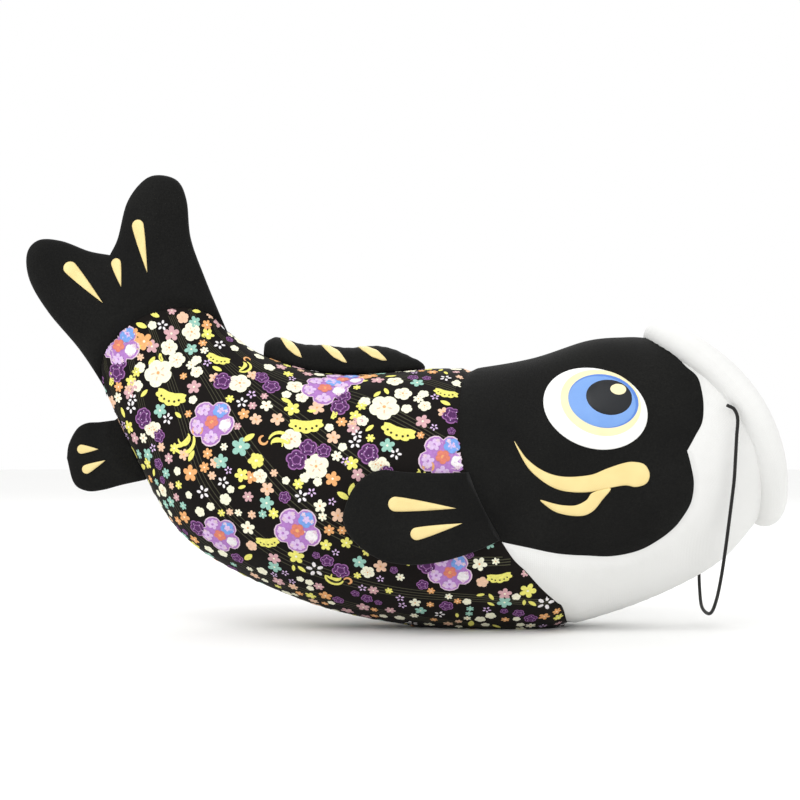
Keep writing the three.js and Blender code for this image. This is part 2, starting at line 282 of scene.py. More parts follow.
def makePrintedCrepe():
    # printed polyester chirimen crepe: pebbled crinkles about 1.2 mm across, inks a little raised in tone;
    # the colour is multiplied by 0.76 to 0.95, darkest in the crinkle hollows, painted shade that follows the
    # bump's crinkles
    material, shader = newMaterial("printedCrepe", 0.8, sheen=0.02, specular=0.12)
    ink = put(material, "ShaderNodeVertexColor", layer_name="ink")
    place = put(material, "ShaderNodeTexCoord").outputs["Object"]
    crinkle = put(material, "ShaderNodeTexNoise", {"Vector": place, "Scale": 430.0, "Detail": 3.0})
    # painted shade: the crinkle noise that raises the bump also darkens the colour, most where it is lowest
    crinkleShade = put(material, "ShaderNodeMapRange", {
        "Value": crinkle.outputs["Fac"], "From Min": 0.3, "From Max": 0.7, "To Min": 0.76, "To Max": 0.95,
    })
    colour = put(material, "ShaderNodeMix", {0: 1.0}, data_type="RGBA", blend_type="MULTIPLY")
    material.node_tree.links.new(ink.outputs["Color"], colour.inputs[6])
    material.node_tree.links.new(crinkleShade.outputs[0], colour.inputs[7])
    material.node_tree.links.new(colour.outputs[2], shader.inputs["Base Color"])
    bump = put(material, "ShaderNodeBump", {"Height": crinkle.outputs["Fac"], "Strength": 0.4,
                                            "Distance": 0.0005})
    material.node_tree.links.new(bump.outputs["Normal"], shader.inputs["Normal"])
    return material


def makeThread(name, grooveShade, crestLight, threadMm=0.9, roughness=0.42):
    # satin stitch in rayon thread: parallel glossy threads, drawn 0.9 mm apart so that they show; their
    # colour runs from the darker tone between threads to the lighter one on their crests, partly the thread's
    # own tone and partly painted shade and painted highlight
    material, shader = newMaterial(name, roughness, sheen=0.03, specular=0.35)
    shader.inputs["Anisotropic"].default_value = 0.5
    run = put(material, "ShaderNodeUVMap", uv_map="cloth").outputs["UV"]
    rows = put(material, "ShaderNodeTexWave", {
        "Vector": run, "Scale": waveScale / threadMm, "Distortion": 0.6, "Detail": 1.0,
    }, bands_direction="X")
    place = put(material, "ShaderNodeTexCoord").outputs["Object"]
    cloud = put(material, "ShaderNodeTexNoise", {"Vector": place, "Scale": 60.0, "Detail": 2.0})
    # painted shade and painted highlight: the wave that raises each thread in the bump also takes its colour
    # from the darker tone in the grooves to the lighter one on top
    tone = put(material, "ShaderNodeMath", {0: rows.outputs["Fac"], 1: cloud.outputs["Fac"]},
               operation="MULTIPLY")
    wide = put(material, "ShaderNodeMapRange", {"Value": tone.outputs[0], "From Min": -0.5, "From Max": 0.6})
    ramp = put(material, "ShaderNodeMix", {"Factor": wide.outputs[0]}, data_type="RGBA")
    ramp.inputs[6].default_value = linear(grooveShade)
    ramp.inputs[7].default_value = linear(crestLight)
    material.node_tree.links.new(ramp.outputs[2], shader.inputs["Base Color"])
    bump = put(material, "ShaderNodeBump", {"Height": rows.outputs["Fac"], "Strength": 0.25,
                                            "Distance": 0.0002})
    material.node_tree.links.new(bump.outputs["Normal"], shader.inputs["Normal"])
    return material


def makeFibre():
    # hollow polyester fibre: white, loose and dull, never seen from outside
    material, shader = newMaterial("polyesterFibre", 0.95, sheen=0.3)
    place = put(material, "ShaderNodeTexCoord").outputs["Object"]
    tuft = put(material, "ShaderNodeTexNoise", {"Vector": place, "Scale": 90.0, "Detail": 6.0})
    ramp = put(material, "ShaderNodeMix", {"Factor": tuft.outputs["Fac"]}, data_type="RGBA")
    ramp.inputs[6].default_value = linear("#DCD8CE")
    ramp.inputs[7].default_value = linear("#FAF8F2")
    material.node_tree.links.new(ramp.outputs[2], shader.inputs["Base Color"])
    bump = put(material, "ShaderNodeBump", {"Height": tuft.outputs["Fac"], "Strength": 0.8,
                                            "Distance": 0.003})
    material.node_tree.links.new(bump.outputs["Normal"], shader.inputs["Normal"])
    return material


blackCloth = makeBlackCloth()
whiteCloth = makeWhiteCloth()
printedCrepe = makePrintedCrepe()
goldThread = makeThread("goldRayon", "#CFAE62", "#F6E3A4")
whiteThread = makeThread("whiteRayon", "#E6E6E0", "#FEFEFC")
paleThread = makeThread("paleGoldRayon", "#DFCB92", "#F8EFC6")
blueThread = makeThread("blueRayon", "#5C87CE", "#7FA8E2")
deepBlueThread = makeThread("deepBlueRayon", "#3D68BC", "#5F8CD8")
pupilThread = makeThread("blackRayon", "#04060A", "#11151B")
cordThread = makeThread("blackBraid", "#060606", "#1C1B1A", threadMm=1.1, roughness=0.7)
fibre = makeFibre()
print("cloths and threads made")


def makeWhisker():
    # a tube along the path; its radius swells over each strand: r = R(0.86 + 0.14 |cos(n(angle - twist)/2)|)
    right = np.array(whisker["half"], float)
    left = right[::-1] * (1, -1, 1)
    left[:, 0] -= whisker["drift"] * (100 - left[:, 1])
    route = np.vstack([right, [whisker["lowest"]], left])
    path = evenSteps(catmullRom(route, 24), whisker["step"])
    ahead = unit(np.gradient(path, axis=0))
    side = unit(np.cross(ahead, np.array([1.0, 0, 0])))
    up = np.cross(side, ahead)
    around = np.linspace(0, 2 * math.pi, whisker["sides"], endpoint=False)
    distance = np.arange(len(path)) * whisker["step"]
    twist = 2 * math.pi * distance / whisker["pitch"]
    lobes = np.abs(np.cos(whisker["strands"] * (around[None] - twist[:, None]) / 2))
    radius = whisker["diameter"] / 2 * (0.86 + 0.14 * lobes)
    points = (path[:, None] + radius[..., None] * (np.cos(around)[None, :, None] * side[:, None]
                                                   + np.sin(around)[None, :, None] * up[:, None]))
    uv = np.stack([(distance[:, None] + around[None] * whisker["pitch"] / (2 * math.pi)) * mm,
                   np.broadcast_to(around[None] * whisker["diameter"] / 2 * mm, radius.shape)], axis=-1)
    faces = gridFaces(*radius.shape, wrap=True).tolist() + endCaps(*radius.shape)
    piece = buildMesh("whiskerCord", points.reshape(-1, 3), faces, cordThread, uv.reshape(-1, 2))
    faceOutwards(piece)
    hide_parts("whisker_cord")
    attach(piece, "fish")


makeWhisker()


# body surface
# Stations from tail to mouth: back seam x, z, belly seam x, z, half width.
body = {
    "stations": np.array([
        (-177, 298, -300, 240, 26), (-141, 272, -272, 178, 55), (-103, 259, -231, 103, 78),
        (-61, 253.5, -169, 55, 90), (-18, 255, -98, 25, 97), (27, 257.5, -23, 5, 101),
        (72, 258.5, 57, -4, 103), (127, 269, 137, -4, 106), (182, 286, 209, 13, 107),
        (222, 289, 272, 39, 103), (240, 289, 323, 70, 96), (257, 289, 361, 115, 84),
    ], float),
    "tailBow": 44.0,  # the torso's rear edge bows this far into the tail
    "tailHalf": 20.0,  # half thickness at the middle of that edge
    "mouthBulge": 28.0,
    "bulgeStart": 8.0,
    "mouthDepth": 16.0,
    "along": 620.0,  # one unit of u, in millimetres of cloth
    "around": 100.0,  # one radian of v
    "seamDip": 2.4,
    "seamWidth": 4.5,
    "pucker": 0.5,
    "puckerPitch": 11.0,
    "flange": 6.0,  # the seam allowance turned inwards
    "cheekFlare": 10.0,  # the cheeks swell this far towards the lips
    "flareWidth": 55.0,
    "sink": 1.2,  # covers lie this far under the plain skin
    "lump": 2.6,
    "lumpRim": 12.0,  # no lumps within about this distance of a seam
}
lastStation = len(body["stations"]) - 1


def sections(u):
    # Catmull-Rom through the stations at u from 0 to 1; straight on beyond the tail end
    stations = body["stations"]
    t = np.clip(u, 0, 1) * lastStation
    i = np.minimum(t.astype(int), lastStation - 1)
    w = (t - i)[:, None]
    p1, p2 = stations[i], stations[i + 1]
    p0 = np.where((i > 0)[:, None], stations[np.maximum(i - 1, 0)], 2 * stations[0] - stations[1])
    p3 = np.where((i < lastStation - 1)[:, None], stations[np.minimum(i + 2, lastStation)],
                  2 * stations[-1] - stations[-2])
    v0, v1 = (p2 - p0) / 2, (p3 - p1) / 2
    cubic, square = 2 * p1 - 2 * p2 + v0 + v1, 3 * p2 - 3 * p1 - 2 * v0 - v1
    return cubic * w ** 3 + square * w ** 2 + v0 * w + p1


def skin(u, v):
    # middle + half chord * cos v + half width * sin v, with the cheeks pushed forward near the mouth;
    # before u = 0 the torso's rear edge bows out behind the first station and thins a little
    s = sections(u)
    middle = (s[:, 0:2] + s[:, 2:4]) / 2
    half = (s[:, 0:2] - s[:, 2:4]) / 2
    forward = unit(np.stack([half[:, 1], -half[:, 0]], axis=1))
    near = np.clip((u * lastStation - body["bulgeStart"]) / 3, 0, 1)
    back = np.maximum(-u * body["along"], 0)
    push = body["mouthBulge"] * near ** 2 * np.sin(v) ** 2 - back
    e = np.clip(back / body["tailBow"], 0, 1.3)
    width = s[:, 4] - (body["stations"][0, 4] - body["tailHalf"]) * (2 * e - e ** 2)
    flat = middle + half * np.cos(v)[:, None] + forward * push[:, None]
    return np.stack([flat[:, 0], -width * np.sin(v), np.maximum(flat[:, 1], 0)], axis=1)


def skinFrame(u, v):
    # place, outward normal and the two tangents for one millimetre of cloth
    du, dv = 1e-3, 1e-3
    place = skin(u, v)
    alongTangent = (skin(u + du, v) - skin(u - du, v)) / (2 * du * body["along"])
    aroundTangent = (skin(u, v + dv) - skin(u, v - dv)) / (2 * dv * body["around"])
    normal = unit(np.cross(aroundTangent, alongTangent))
    s = sections(u)
    core = np.stack([(s[:, 0] + s[:, 2]) / 2, np.zeros(len(s)), (s[:, 1] + s[:, 3]) / 2], axis=1)
    flip = np.sign((normal * (place - core)).sum(axis=1))
    return place, normal * np.where(flip == 0, 1, flip)[:, None], alongTangent, aroundTangent


lumpWaves = [(rng.uniform(0.015, 0.05, 3) * rng.choice([-1, 1], 3), rng.uniform(0, 6.28))
             for k in range(9)]


def lumps(points):
    # the unevenness of stuffing: a sum of slow sine waves, about a millimetre deep
    return sum(np.sin(points @ wave + phase) for wave, phase in lumpWaves) / len(lumpWaves) * body["lump"]


searchU, searchV = np.meshgrid(np.linspace(-0.06, 1, 420), np.linspace(0.0, math.pi, 240), indexing="ij")
searchSkin = skin(searchU.ravel(), searchV.ravel())


def locate(sideView):
    # u and v of side-view points x, z on the right side: the nearest grid point, then Newton steps
    sideView = np.asarray(sideView, float)
    nearest = np.array([((searchSkin[:, (0, 2)] - p) ** 2).sum(axis=1).argmin() for p in sideView])
    u, v = searchU.ravel()[nearest].copy(), searchV.ravel()[nearest].copy()
    for step in range(5):
        place = skin(u, v)[:, (0, 2)]
        a = (skin(u + 1e-4, v)[:, (0, 2)] - place) / 1e-4
        b = (skin(u, v + 1e-4)[:, (0, 2)] - place) / 1e-4
        gap = sideView - place
        det = a[:, 0] * b[:, 1] - a[:, 1] * b[:, 0]
        safe = np.abs(det) > 2000
        det = np.where(safe, det, 1)
        u = u + np.where(safe, np.clip((gap[:, 0] * b[:, 1] - gap[:, 1] * b[:, 0]) / det, -0.01, 0.01), 0)
        v = v + np.where(safe, np.clip((a[:, 0] * gap[:, 1] - a[:, 1] * gap[:, 0]) / det, -0.05, 0.05), 0)
    return np.stack([u * body["along"], v * body["around"]], axis=1)


def toSkin(cloth):
    # cloth places in millimetres to u and v
    return cloth[:, 0] / body["along"], cloth[:, 1] / body["around"]


# cutting cloth
def edgeDistance(points, loop, closed=True):
    # distance to the nearest place on a loop, and how far along the loop that is
    walk = evenSteps(np.vstack([loop, loop[:1]]) if closed else loop, 0.5)
    tree = KDTree(len(walk))
    for k, place in enumerate(walk.tolist()):
        tree.insert((*place, 0), k)
    tree.balance()
    found = np.array([tree.find((*place, 0))[1:] for place in points.tolist()]).reshape(-1, 2)
    near = np.where(found[:, 1] < 0.3, 0, found[:, 1])
    return near, found[:, 0] * 0.5


def insideLoop(points, loop):
    # even-odd rule
    inside = np.zeros(len(points), bool)
    ends = np.roll(loop, -1, axis=0)
    for (x0, y0), (x1, y1) in zip(loop, ends):
        if y0 == y1:
            continue
        crosses = (points[:, 1] < y0) != (points[:, 1] < y1)
        inside ^= crosses & (points[:, 0] < (x1 - x0) * (points[:, 1] - y0) / (y1 - y0) + x0)
    return inside


def loopArea(loop):
    # half the sum of cross products; positive when the loop runs anticlockwise
    following = np.roll(loop, -1, axis=0)
    return 0.5 * float((loop[:, 0] * following[:, 1] - loop[:, 1] * following[:, 0]).sum())


def cutCloth(loop, step, rims=(0.8, 2.0, 3.6)):
    # triangulates the inside of a loop on a staggered grid, with rows of points just inside its edge
    if loopArea(loop) < 0:
        loop = loop[::-1]
    low, high = loop.min(axis=0), loop.max(axis=0)
    columns = np.arange(low[0], high[0] + step, step)
    rows = np.arange(low[1], high[1] + step, step * 0.866)
    gx, gy = np.meshgrid(columns, rows)
    gx = gx + (np.arange(len(rows)) % 2)[:, None] * step / 2
    grid = np.stack([gx.ravel(), gy.ravel()], axis=1)
    grid = grid[insideLoop(grid, loop)]
    grid = grid[edgeDistance(grid, loop)[0] > max(rims) + 0.5 * step]
    tangent = unit(np.roll(loop, -1, axis=0) - np.roll(loop, 1, axis=0))
    inward = np.stack([-tangent[:, 1], tangent[:, 0]], axis=1)
    rimRows = []
    for depth in rims:
        row = loop + inward * depth
        row = row[insideLoop(row, loop)]
        rimRows.append(row[edgeDistance(row, loop)[0] > depth * 0.85])
    flat = np.vstack([loop] + rimRows + [grid])
    places = [Vector(p) for p in flat.tolist()]
    result = delaunay_2d_cdt(places, [], [list(range(len(loop)))], 1, 1e-4, False)
    flat = np.array([tuple(p) for p in result[0]])
    triangles = np.array([list(face) for face in result[2]])
    triangles = triangles[insideLoop(flat[triangles].mean(axis=1), loop)]
    a, b, c = flat[triangles[:, 0]], flat[triangles[:, 1]], flat[triangles[:, 2]]
    ab, ac = b - a, c - a
    turned = ab[:, 0] * ac[:, 1] - ab[:, 1] * ac[:, 0] < 0
    triangles[turned] = triangles[turned][:, ::-1]
    used = np.unique(triangles)
    renumber = np.full(len(flat), -1)
    renumber[used] = np.arange(len(used))
    return flat[used], renumber[triangles]


def rimEdges(triangles):
    # the directed edges that only one triangle has
    edges = np.vstack([triangles[:, (0, 1)], triangles[:, (1, 2)], triangles[:, (2, 0)]])
    forwards = edges[:, 0] * (triangles.max() + 1) + edges[:, 1]
    backwards = edges[:, 1] * (triangles.max() + 1) + edges[:, 0]
    return edges[~np.isin(forwards, backwards)]


def splineThrough(points, perSpan=8):
    return catmullRom(np.asarray(points, float), perSpan)


def seamShape(distance, along):
    # a seam pulls the cloth in by a rounded groove, with small puckers beside it
    groove = body["seamDip"] * np.exp(-(distance / body["seamWidth"]) ** 2)
    pucker = body["pucker"] * np.sin(2 * math.pi * along / body["puckerPitch"])
    pucker = pucker * distance / 5 * np.exp(-distance / 7)
    return groove + pucker


def facing(points, triangles, normals):
    # turns each triangle to the side its cloth faces
    a, b, c = points[triangles[:, 0]], points[triangles[:, 1]], points[triangles[:, 2]]
    wrong = (np.cross(b - a, c - a) * normals[triangles[:, 0]]).sum(axis=1) < 0
    return np.where(wrong[:, None], triangles[:, ::-1], triangles)


def clothPoints(flat, loop, lift=0.0):
    # the body's skin at cloth places, dipped into the seams of the panel, swollen by the stuffing
    place, normal = skinFrame(*toSkin(flat))[:2]
    distance, run = edgeDistance(flat, loop)
    swollen = lumps(place) * (1 - np.exp(-distance / body["lumpRim"]))
    lowering = seamShape(distance, run) + body["sink"] - swollen
    flare = body["cheekFlare"] * np.sin(flat[:, 1] / body["around"]) ** 2
    flare = flare * np.clip(1 - (body["along"] - flat[:, 0]) / body["flareWidth"], 0, 1) ** 2
    lowering = np.where(place[:, 2] < 0.5, 0.5, lowering) - lift - flare
    points = place - normal * np.reshape(lowering, (-1, 1))
    points[:, 2] = np.maximum(points[:, 2], 0.0)
    return points, normal


def hemmed(flat, triangles, points, normal, depth):
    # adds the edge of a panel, turned in by a depth: all points, all faces and their cloth places
    triangles = facing(points, triangles, normal)
    rim = rimEdges(triangles)
    rimPoints = np.unique(rim)
    lookup = np.full(len(points), -1)
    lookup[rimPoints] = len(points) + np.arange(len(rimPoints))
    turnedIn = points[rimPoints] - normal[rimPoints] * depth
    quads = np.stack([rim[:, 1], rim[:, 0], lookup[rim[:, 0]], lookup[rim[:, 1]]], axis=1)
    uv = np.vstack([flat, flat[rimPoints]]) * mm
    return np.vstack([points, turnedIn]), triangles.tolist() + quads.tolist(), uv


def panelPieces(loop, step=4.5):
    # a cloth panel cut from a loop and laid on the body, its allowances kept just above the floor
    flat, triangles = cutCloth(loop, step)
    points, normal = clothPoints(flat, loop)
    points, faces, uv = hemmed(flat, triangles, points, normal, body["flange"])
    points[:, 2] = np.maximum(points[:, 2], 0.3)
    return points, faces, uv


def sewPanel(name, loop, material):
    points, faces, uv = panelPieces(loop)
    return buildMesh(name, points, faces, material, uv)


def declare(piece, nodes, rider):
    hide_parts(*nodes)
    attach(piece, rider)


# printed torso
inkColours = {
    "ground": "#15110F", "cream": "#FEFCE2", "lemon": "#F6F07C", "orange": "#F4B477",
    "peach": "#F6CDAE", "pink": "#DDB0B4", "mint": "#9FD0C0", "plum": "#5A3163",
    "plumLight": "#A06BA6", "violet": "#B983CC", "lilac": "#E3C6EE", "blue": "#7FA8EC",
    "coral": "#E48672", "outline": "#E9CFE0", "stream": "#4B4A3A", "white": "#F7F2F4",
    "dark": "#2A241C",
}

# Motifs listed in the side view: x, z, size across. The cloth's print repeats along repeatStep.
printPlan = {
    "repeatStep": (223.0, -33.0),
    "starMotifs": {
        "orange": [(-256, 284, 18), (-266, 291, 13), (-194, 301, 11), (-206, 155, 17), (-67, 151, 15),
                   (-146, 152, 13), (-59, 206, 11), (-40, 249, 13)],
        "peach": [(-184, 248, 12), (-142, 208, 12), (-213, 173, 12), (-237, 180, 10), (-83, 219, 16),
                  (-121, 208, 14), (-141, 207, 11), (-67, 191, 14), (-62, 116, 14), (-147, 251, 12),
                  (-272, 237, 9), (-181, 166, 11)],
        "lemon": [(-193, 292, 13), (-263, 254, 11), (-223, 179, 11), (-141, 168, 16), (-107, 218, 16),
                  (-46, 212, 12), (-49, 166, 14), (-100, 146, 11), (-155, 154, 14), (-103, 75, 17),
                  (-140, 168, 14), (-30, 130, 12)],
        "pink": [(-229, 292, 16), (-204, 239, 15), (-48, 200, 13), (-43, 155, 13), (-266, 241, 11),
                 (-229, 169, 11), (-125, 72, 14), (-149, 133, 11), (-25, 246, 14)],
        "mint": [(-206, 304, 12), (-209, 277, 14), (-238, 216, 15), (-156, 181, 19), (-175, 167, 15),
                 (-131, 127, 15), (-252, 172, 14), (-125, 63, 15), (-42, 70, 14), (-94, 100, 12)],
        "cream": [(-132, 221, 13), (-150, 102, 15), (-79, 125, 13), (-208, 261, 11), (-190, 215, 10)],
    },
    "roundMotifs": {
        "cream": [(-209, 294, 19), (-231, 278, 17), (-223, 266, 18), (-241, 253, 30), (-260, 258, 12),
                  (-262, 240, 12), (-203, 266, 11), (-202, 254, 13), (-249, 198, 14), (-159, 243, 22),
                  (-105, 240, 18), (-113, 232, 10), (-98, 229, 13), (-107, 189, 21), (-83, 163, 25),
                  (-137, 153, 14), (-94, 152, 10), (-21, 164, 17), (-34, 60, 14), (-248, 300, 9)],
        "peach": [(-218, 308, 12), (-147, 84, 12)],
    },
    "plumMotifs": [(-281, 263, 16), (-176, 245, 20), (-255, 211, 16), (-239, 191, 14), (-138, 249, 15),
                   (-128, 240, 18), (-61, 220, 19), (-91, 181, 18), (-102, 169, 21), (-76, 178, 15),
                   (-33, 175, 21), (-200, 101, 19), (-60, 61, 18), (-73, 71, 14)],
    "clusterMotifs": [(-185, 205, 48), (-76, 238, 48), (-101, 101, 48), (-178, 94, 44), (-282, 280, 44)],
    "pineMotifs": [(-181, 268, 26, -20), (-227, 231, 36, -20), (-93, 204, 35, 0), (-131, 90, 26, 10),
                   (-290, 247, 14, 80)],
    "pinwheelMotifs": [(-238, 300, 11), (-181, 282, 12), (-192, 263, 9), (-267, 227, 11), (-230, 208, 12),
                       (-156, 224, 12), (-147, 232, 10), (-46, 186, 13), (-97, 134, 13), (-87, 138, 9),
                       (-173, 147, 12), (-193, 137, 14), (-85, 62, 18), (-55, 168, 9)],
    "leafMotifs": [(-259, 300, 12, -20), (-262, 278, 10, 10), (-182, 257, 11, -30), (-205, 172, 12, 60),
                   (-148, 190, 13, 30), (-113, 226, 11, -30), (-88, 216, 9, 0), (-49, 141, 13, 70),
                   (-57, 135, 13, -30), (-106, 63, 8, 90), (-98, 62, 10, -40), (-248, 265, 10, 50),
                   (-239, 268, 10, -70), (-255, 233, 10, 40)],
    "ribbonMotifs": [(-208, 189, 40, 60), (-124, 187, 34, 200), (-62, 52, 30, 20), (-155, 262, 26, 100)],
}


def petals(count, size, waist, roundness, turn=0.0):
    # radius = R (waist + (1 - waist) |cos(n a / 2)|^roundness)
    a = np.linspace(0, 2 * math.pi, count * 6, endpoint=False)
    r = size / 2 * (waist + (1 - waist) * np.abs(np.cos(count * a / 2)) ** roundness)
    return np.stack([r * np.cos(a + turn), r * np.sin(a + turn)], axis=1)


def disc(centre, size, points=8, stretch=1.0, turn=0.0):
    # an ellipse of a few points, turned about its own centre
    a = np.linspace(0, 2 * math.pi, points, endpoint=False)
    x, y = size / 2 * np.cos(a), size / 2 * stretch * np.sin(a)
    return np.stack([centre[0] + x * math.cos(turn) - y * math.sin(turn),
                     centre[1] + x * math.sin(turn) + y * math.cos(turn)], axis=1)


def ringOf(count, radius, turn=0.0):
    # places evenly round a circle
    a = turn + 2 * math.pi * np.arange(count) / count
    return np.stack([radius * np.cos(a), radius * np.sin(a)], axis=1)


def starMotif(size, ink):
    # a deeply notched blossom with a spot in its heart
    inner = "orange" if ink in ("cream", "peach") else "cream"
    return [(petals(5 if size > 11 else 6, size, 0.52, 0.8), ink), (disc((0, 0), size * 0.16, 6), inner)]


def roundMotif(size, ink):
    # a full blossom, with stamens when it is large enough
    shapes = [(petals(5, size, 0.8, 0.55), ink)]
    if size > 12:
        shapes += [(disc(p, size * 0.16, 6, 0.3, math.atan2(p[1], p[0])), "peach")
                   for p in ringOf(5, size * 0.19)]
        shapes += [(disc((0, 0), size * 0.12, 6), "orange")]
    return shapes


def plumMotif(size, ink):
    # dark and light blossoms inside one another, with five spots
    rings = ((1, "plumLight"), (0.86, "plum"), (0.5, "plumLight"), (0.38, "plum"))
    shapes = [(petals(5, size * share, 0.8, 0.55), shade) for share, shade in rings]
    return shapes + [(disc(p, size * 0.07, 5), "lilac") for p in ringOf(5, size * 0.3)]


def clusterMotif(size, ink):
    # one big outlined blossom filled with smaller ones
    shapes = [(petals(5, size, 0.74, 0.6), "outline"), (petals(5, size * 0.94, 0.74, 0.6), "violet")]
    for place in ringOf(5, size * 0.31):
        shapes.append((petals(5, size * 0.27, 0.55, 0.8, 0.6) + place, "lilac"))
        shapes.append((disc(place, size * 0.07, 5), "violet"))
    for place in ringOf(10, size * 0.36, 0.31):
        shapes.append((petals(5, size * 0.1, 0.5, 0.8) + place, "outline"))
    blue, white = ringOf(5, size * 0.3)[[1, 0]]
    shapes.append((petals(5, size * 0.34, 0.8, 0.6) + blue, "blue"))
    shapes.append((petals(5, size * 0.16, 0.6, 0.8) + blue, "lilac"))
    shapes.append((petals(5, size * 0.26, 0.8, 0.6) + white, "white"))
    shapes.append((petals(5, size * 0.3, 0.75, 0.6), "coral"))
    shapes.append((disc((0, 0), size * 0.08, 6), "orange"))
    return shapes


def pineMotif(size, ink):
    # a fan with a scalloped lower edge and seeds in a row
    a = np.linspace(math.pi, 2 * math.pi, 31)
    r = size / 2 * (0.86 + 0.14 * np.abs(np.sin(5 * a)))
    low = np.stack([r * np.cos(a), 0.6 * r * np.sin(a)], axis=1)
    top = np.array([(0.45, 0.1), (0.3, 0.12), (0.1, 0.08), (-0.1, 0.08), (-0.3, 0.12), (-0.45, 0.1)]) * size
    shapes = [(np.vstack([low, top]), "lemon")]
    for k in range(5):
        angle = math.pi * (1.17 + 0.165 * k)
        place = (0.33 * size * math.cos(angle), 0.17 * size * math.sin(angle))
        shapes.append((disc(place, size * 0.07, 6), "dark"))
    return shapes


def pinwheelMotif(size, ink):
    # five loose petals
    shade = "white" if size > 10 else "lilac"
    return [(disc(p, size * 0.36, 7, 0.62, math.atan2(p[1], p[0])), shade) for p in ringOf(5, size * 0.32)]


def leafMotif(size, ink):
    # a lens: half height 0.22 size sin^1.4
    t = np.linspace(0, math.pi, 9)
    edge = np.stack([size / 2 * np.cos(t), size * 0.22 * np.sin(t) ** 1.4], axis=1)
    return [(np.vstack([edge, edge[-2:0:-1] * (1, -1)]), "lemon")]


def arcBand(centre, radius, thick, start, end, points=14):
    # a band between two arcs, tapering to its ends
    t = np.linspace(0, 1, points)
    a = start + (end - start) * t
    half = thick / 2 * (0.35 + 0.65 * np.sin(math.pi * t) ** 0.6)
    outer = np.stack([(radius + half) * np.cos(a), (radius + half) * np.sin(a)], axis=1)
    inner = np.stack([(radius - half) * np.cos(a), (radius - half) * np.sin(a)], axis=1)
    return np.vstack([outer, inner[::-1]]) + centre


def ribbonMotif(size, ink):
    # a knotted ribbon of four tapering bands; every shape in it is a band
    return [
        (arcBand((-0.12 * size, 0.1 * size), 0.3 * size, 0.1 * size, 2.6, 5.6), "lemon"),
        (arcBand((-0.06 * size, 0.12 * size), 0.16 * size, 0.07 * size, 2.2, 6.0), "lemon"),
        (arcBand((0.26 * size, -0.12 * size), 0.12 * size, 0.08 * size, -1.9, 2.6), "orange"),
        (arcBand((0.0, 0.42 * size), 0.4 * size, 0.11 * size, 3.6, 4.9), "lemon"),
    ]


def motifList():
    # every motif of one repeat, and the same again one repeat before and after it
    plan = printPlan
    singles = []
    for kind, maker in (("starMotifs", starMotif), ("roundMotifs", roundMotif)):
        for ink, places in plan[kind].items():
            singles += [(maker, x, z, size, None, ink) for x, z, size in places]
    for kind, maker, turn in (("plumMotifs", plumMotif, None), ("clusterMotifs", clusterMotif, -0.35),
                              ("pinwheelMotifs", pinwheelMotif, None)):
        singles += [(maker, x, z, size, turn, "plum") for x, z, size in plan[kind]]
    for kind, maker in (("pineMotifs", pineMotif), ("leafMotifs", leafMotif), ("ribbonMotifs", ribbonMotif)):
        singles += [(maker, x, z, size, math.radians(turn), "lemon") for x, z, size, turn in plan[kind]]
    step = plan["repeatStep"]
    return [(maker, x + k * step[0], z + k * step[1], size, turn, ink)
            for k in (-1, 0, 1) for maker, x, z, size, turn, ink in singles]


def inView(points):
    # keeps side-view places that lie over the right side of the torso
    flat = locate(points)
    u, v = toSkin(flat)
    reached = skin(u, v)[:, (0, 2)]
    return flat, np.linalg.norm(reached - points, axis=1) < 2.0


def layMotif(shapes, centre, turn, side):
    # carries flat motif shapes on to the cloth at a place, undoing the local stretch of u and v
    normal, a, b = (rows[0] for rows in skinFrame(*toSkin(np.array([centre])))[1:])
    east = np.array([1.0, 0, 0]) - normal * normal[0]
    east = east / max(np.linalg.norm(east), 1e-6)
    north = np.cross(normal, east) * (1 if normal[1] < 0 else -1)
    if north[2] < 0:
        north = -north
    solve = np.linalg.pinv(np.stack([a, b], axis=1))
    laid = []
    c, s = math.cos(turn), math.sin(turn)
    for shape, ink in shapes:
        x, y = shape[:, 0] * c - shape[:, 1] * s, shape[:, 0] * s + shape[:, 1] * c
        spatial = x[:, None] * east + y[:, None] * north
        laid.append((centre + spatial @ solve.T, ink))
    if side > 0:
        laid = [(shape * (1, -1), ink) for shape, ink in laid]
    return laid


# the head cap's edges in the side view, x and z; rearTop and frontTop are where they cross the back
head = {
    "rearTop": 69.0,
    "rear": [(58, 245), (54, 208), (56, 175), (61, 153), (68, 137), (80, 115), (94, 90)],
    "lower": [(94, 90), (121, 84), (150, 78), (176, 76), (200, 75), (226, 80), (245, 90), (260, 102),
              (269, 114), (276, 128), (278, 146), (275, 163), (271, 178)],
    "front": [(271, 178), (279, 192), (286, 205), (288, 220), (287, 235), (283, 250), (272, 262),
              (262, 276)],
    "frontTop": 246.0,
    "hem": [(94, 90), (106, 72), (118, 60), (133, 43), (149, 28), (157, 19)],
    "hemEndU": 0.672,
}


def sortedBack():
    # x along the back seam, and the u that goes with it
    u = np.linspace(0, 1, 400)
    return skin(u, np.zeros(400))[:, 0], u


def edgeCurves():
    # the cap's and the hem's edges on the cloth of the right side; each starts where the one before ends
    rearU, frontU = (np.interp(head[end], *sortedBack()) for end in ("rearTop", "frontTop"))
    belly = [head["hemEndU"] * body["along"], math.pi * body["around"]]
    rear = splineThrough(np.vstack([[rearU * body["along"], 0.0], locate(head["rear"])]))
    lower = splineThrough(locate(head["lower"]), 6)
    front = splineThrough(np.vstack([locate(head["front"]), [frontU * body["along"], 0.0]]))
    hem = splineThrough(np.vstack([locate(head["hem"]), belly]))
    lower[0] = rear[-1]
    front[0] = lower[-1]
    hem[0] = rear[-1]
    return rear, lower, front, hem


def mirrored(curve):
    # the same edge on the left side, run backwards
    return curve[::-1] * (1, -1)


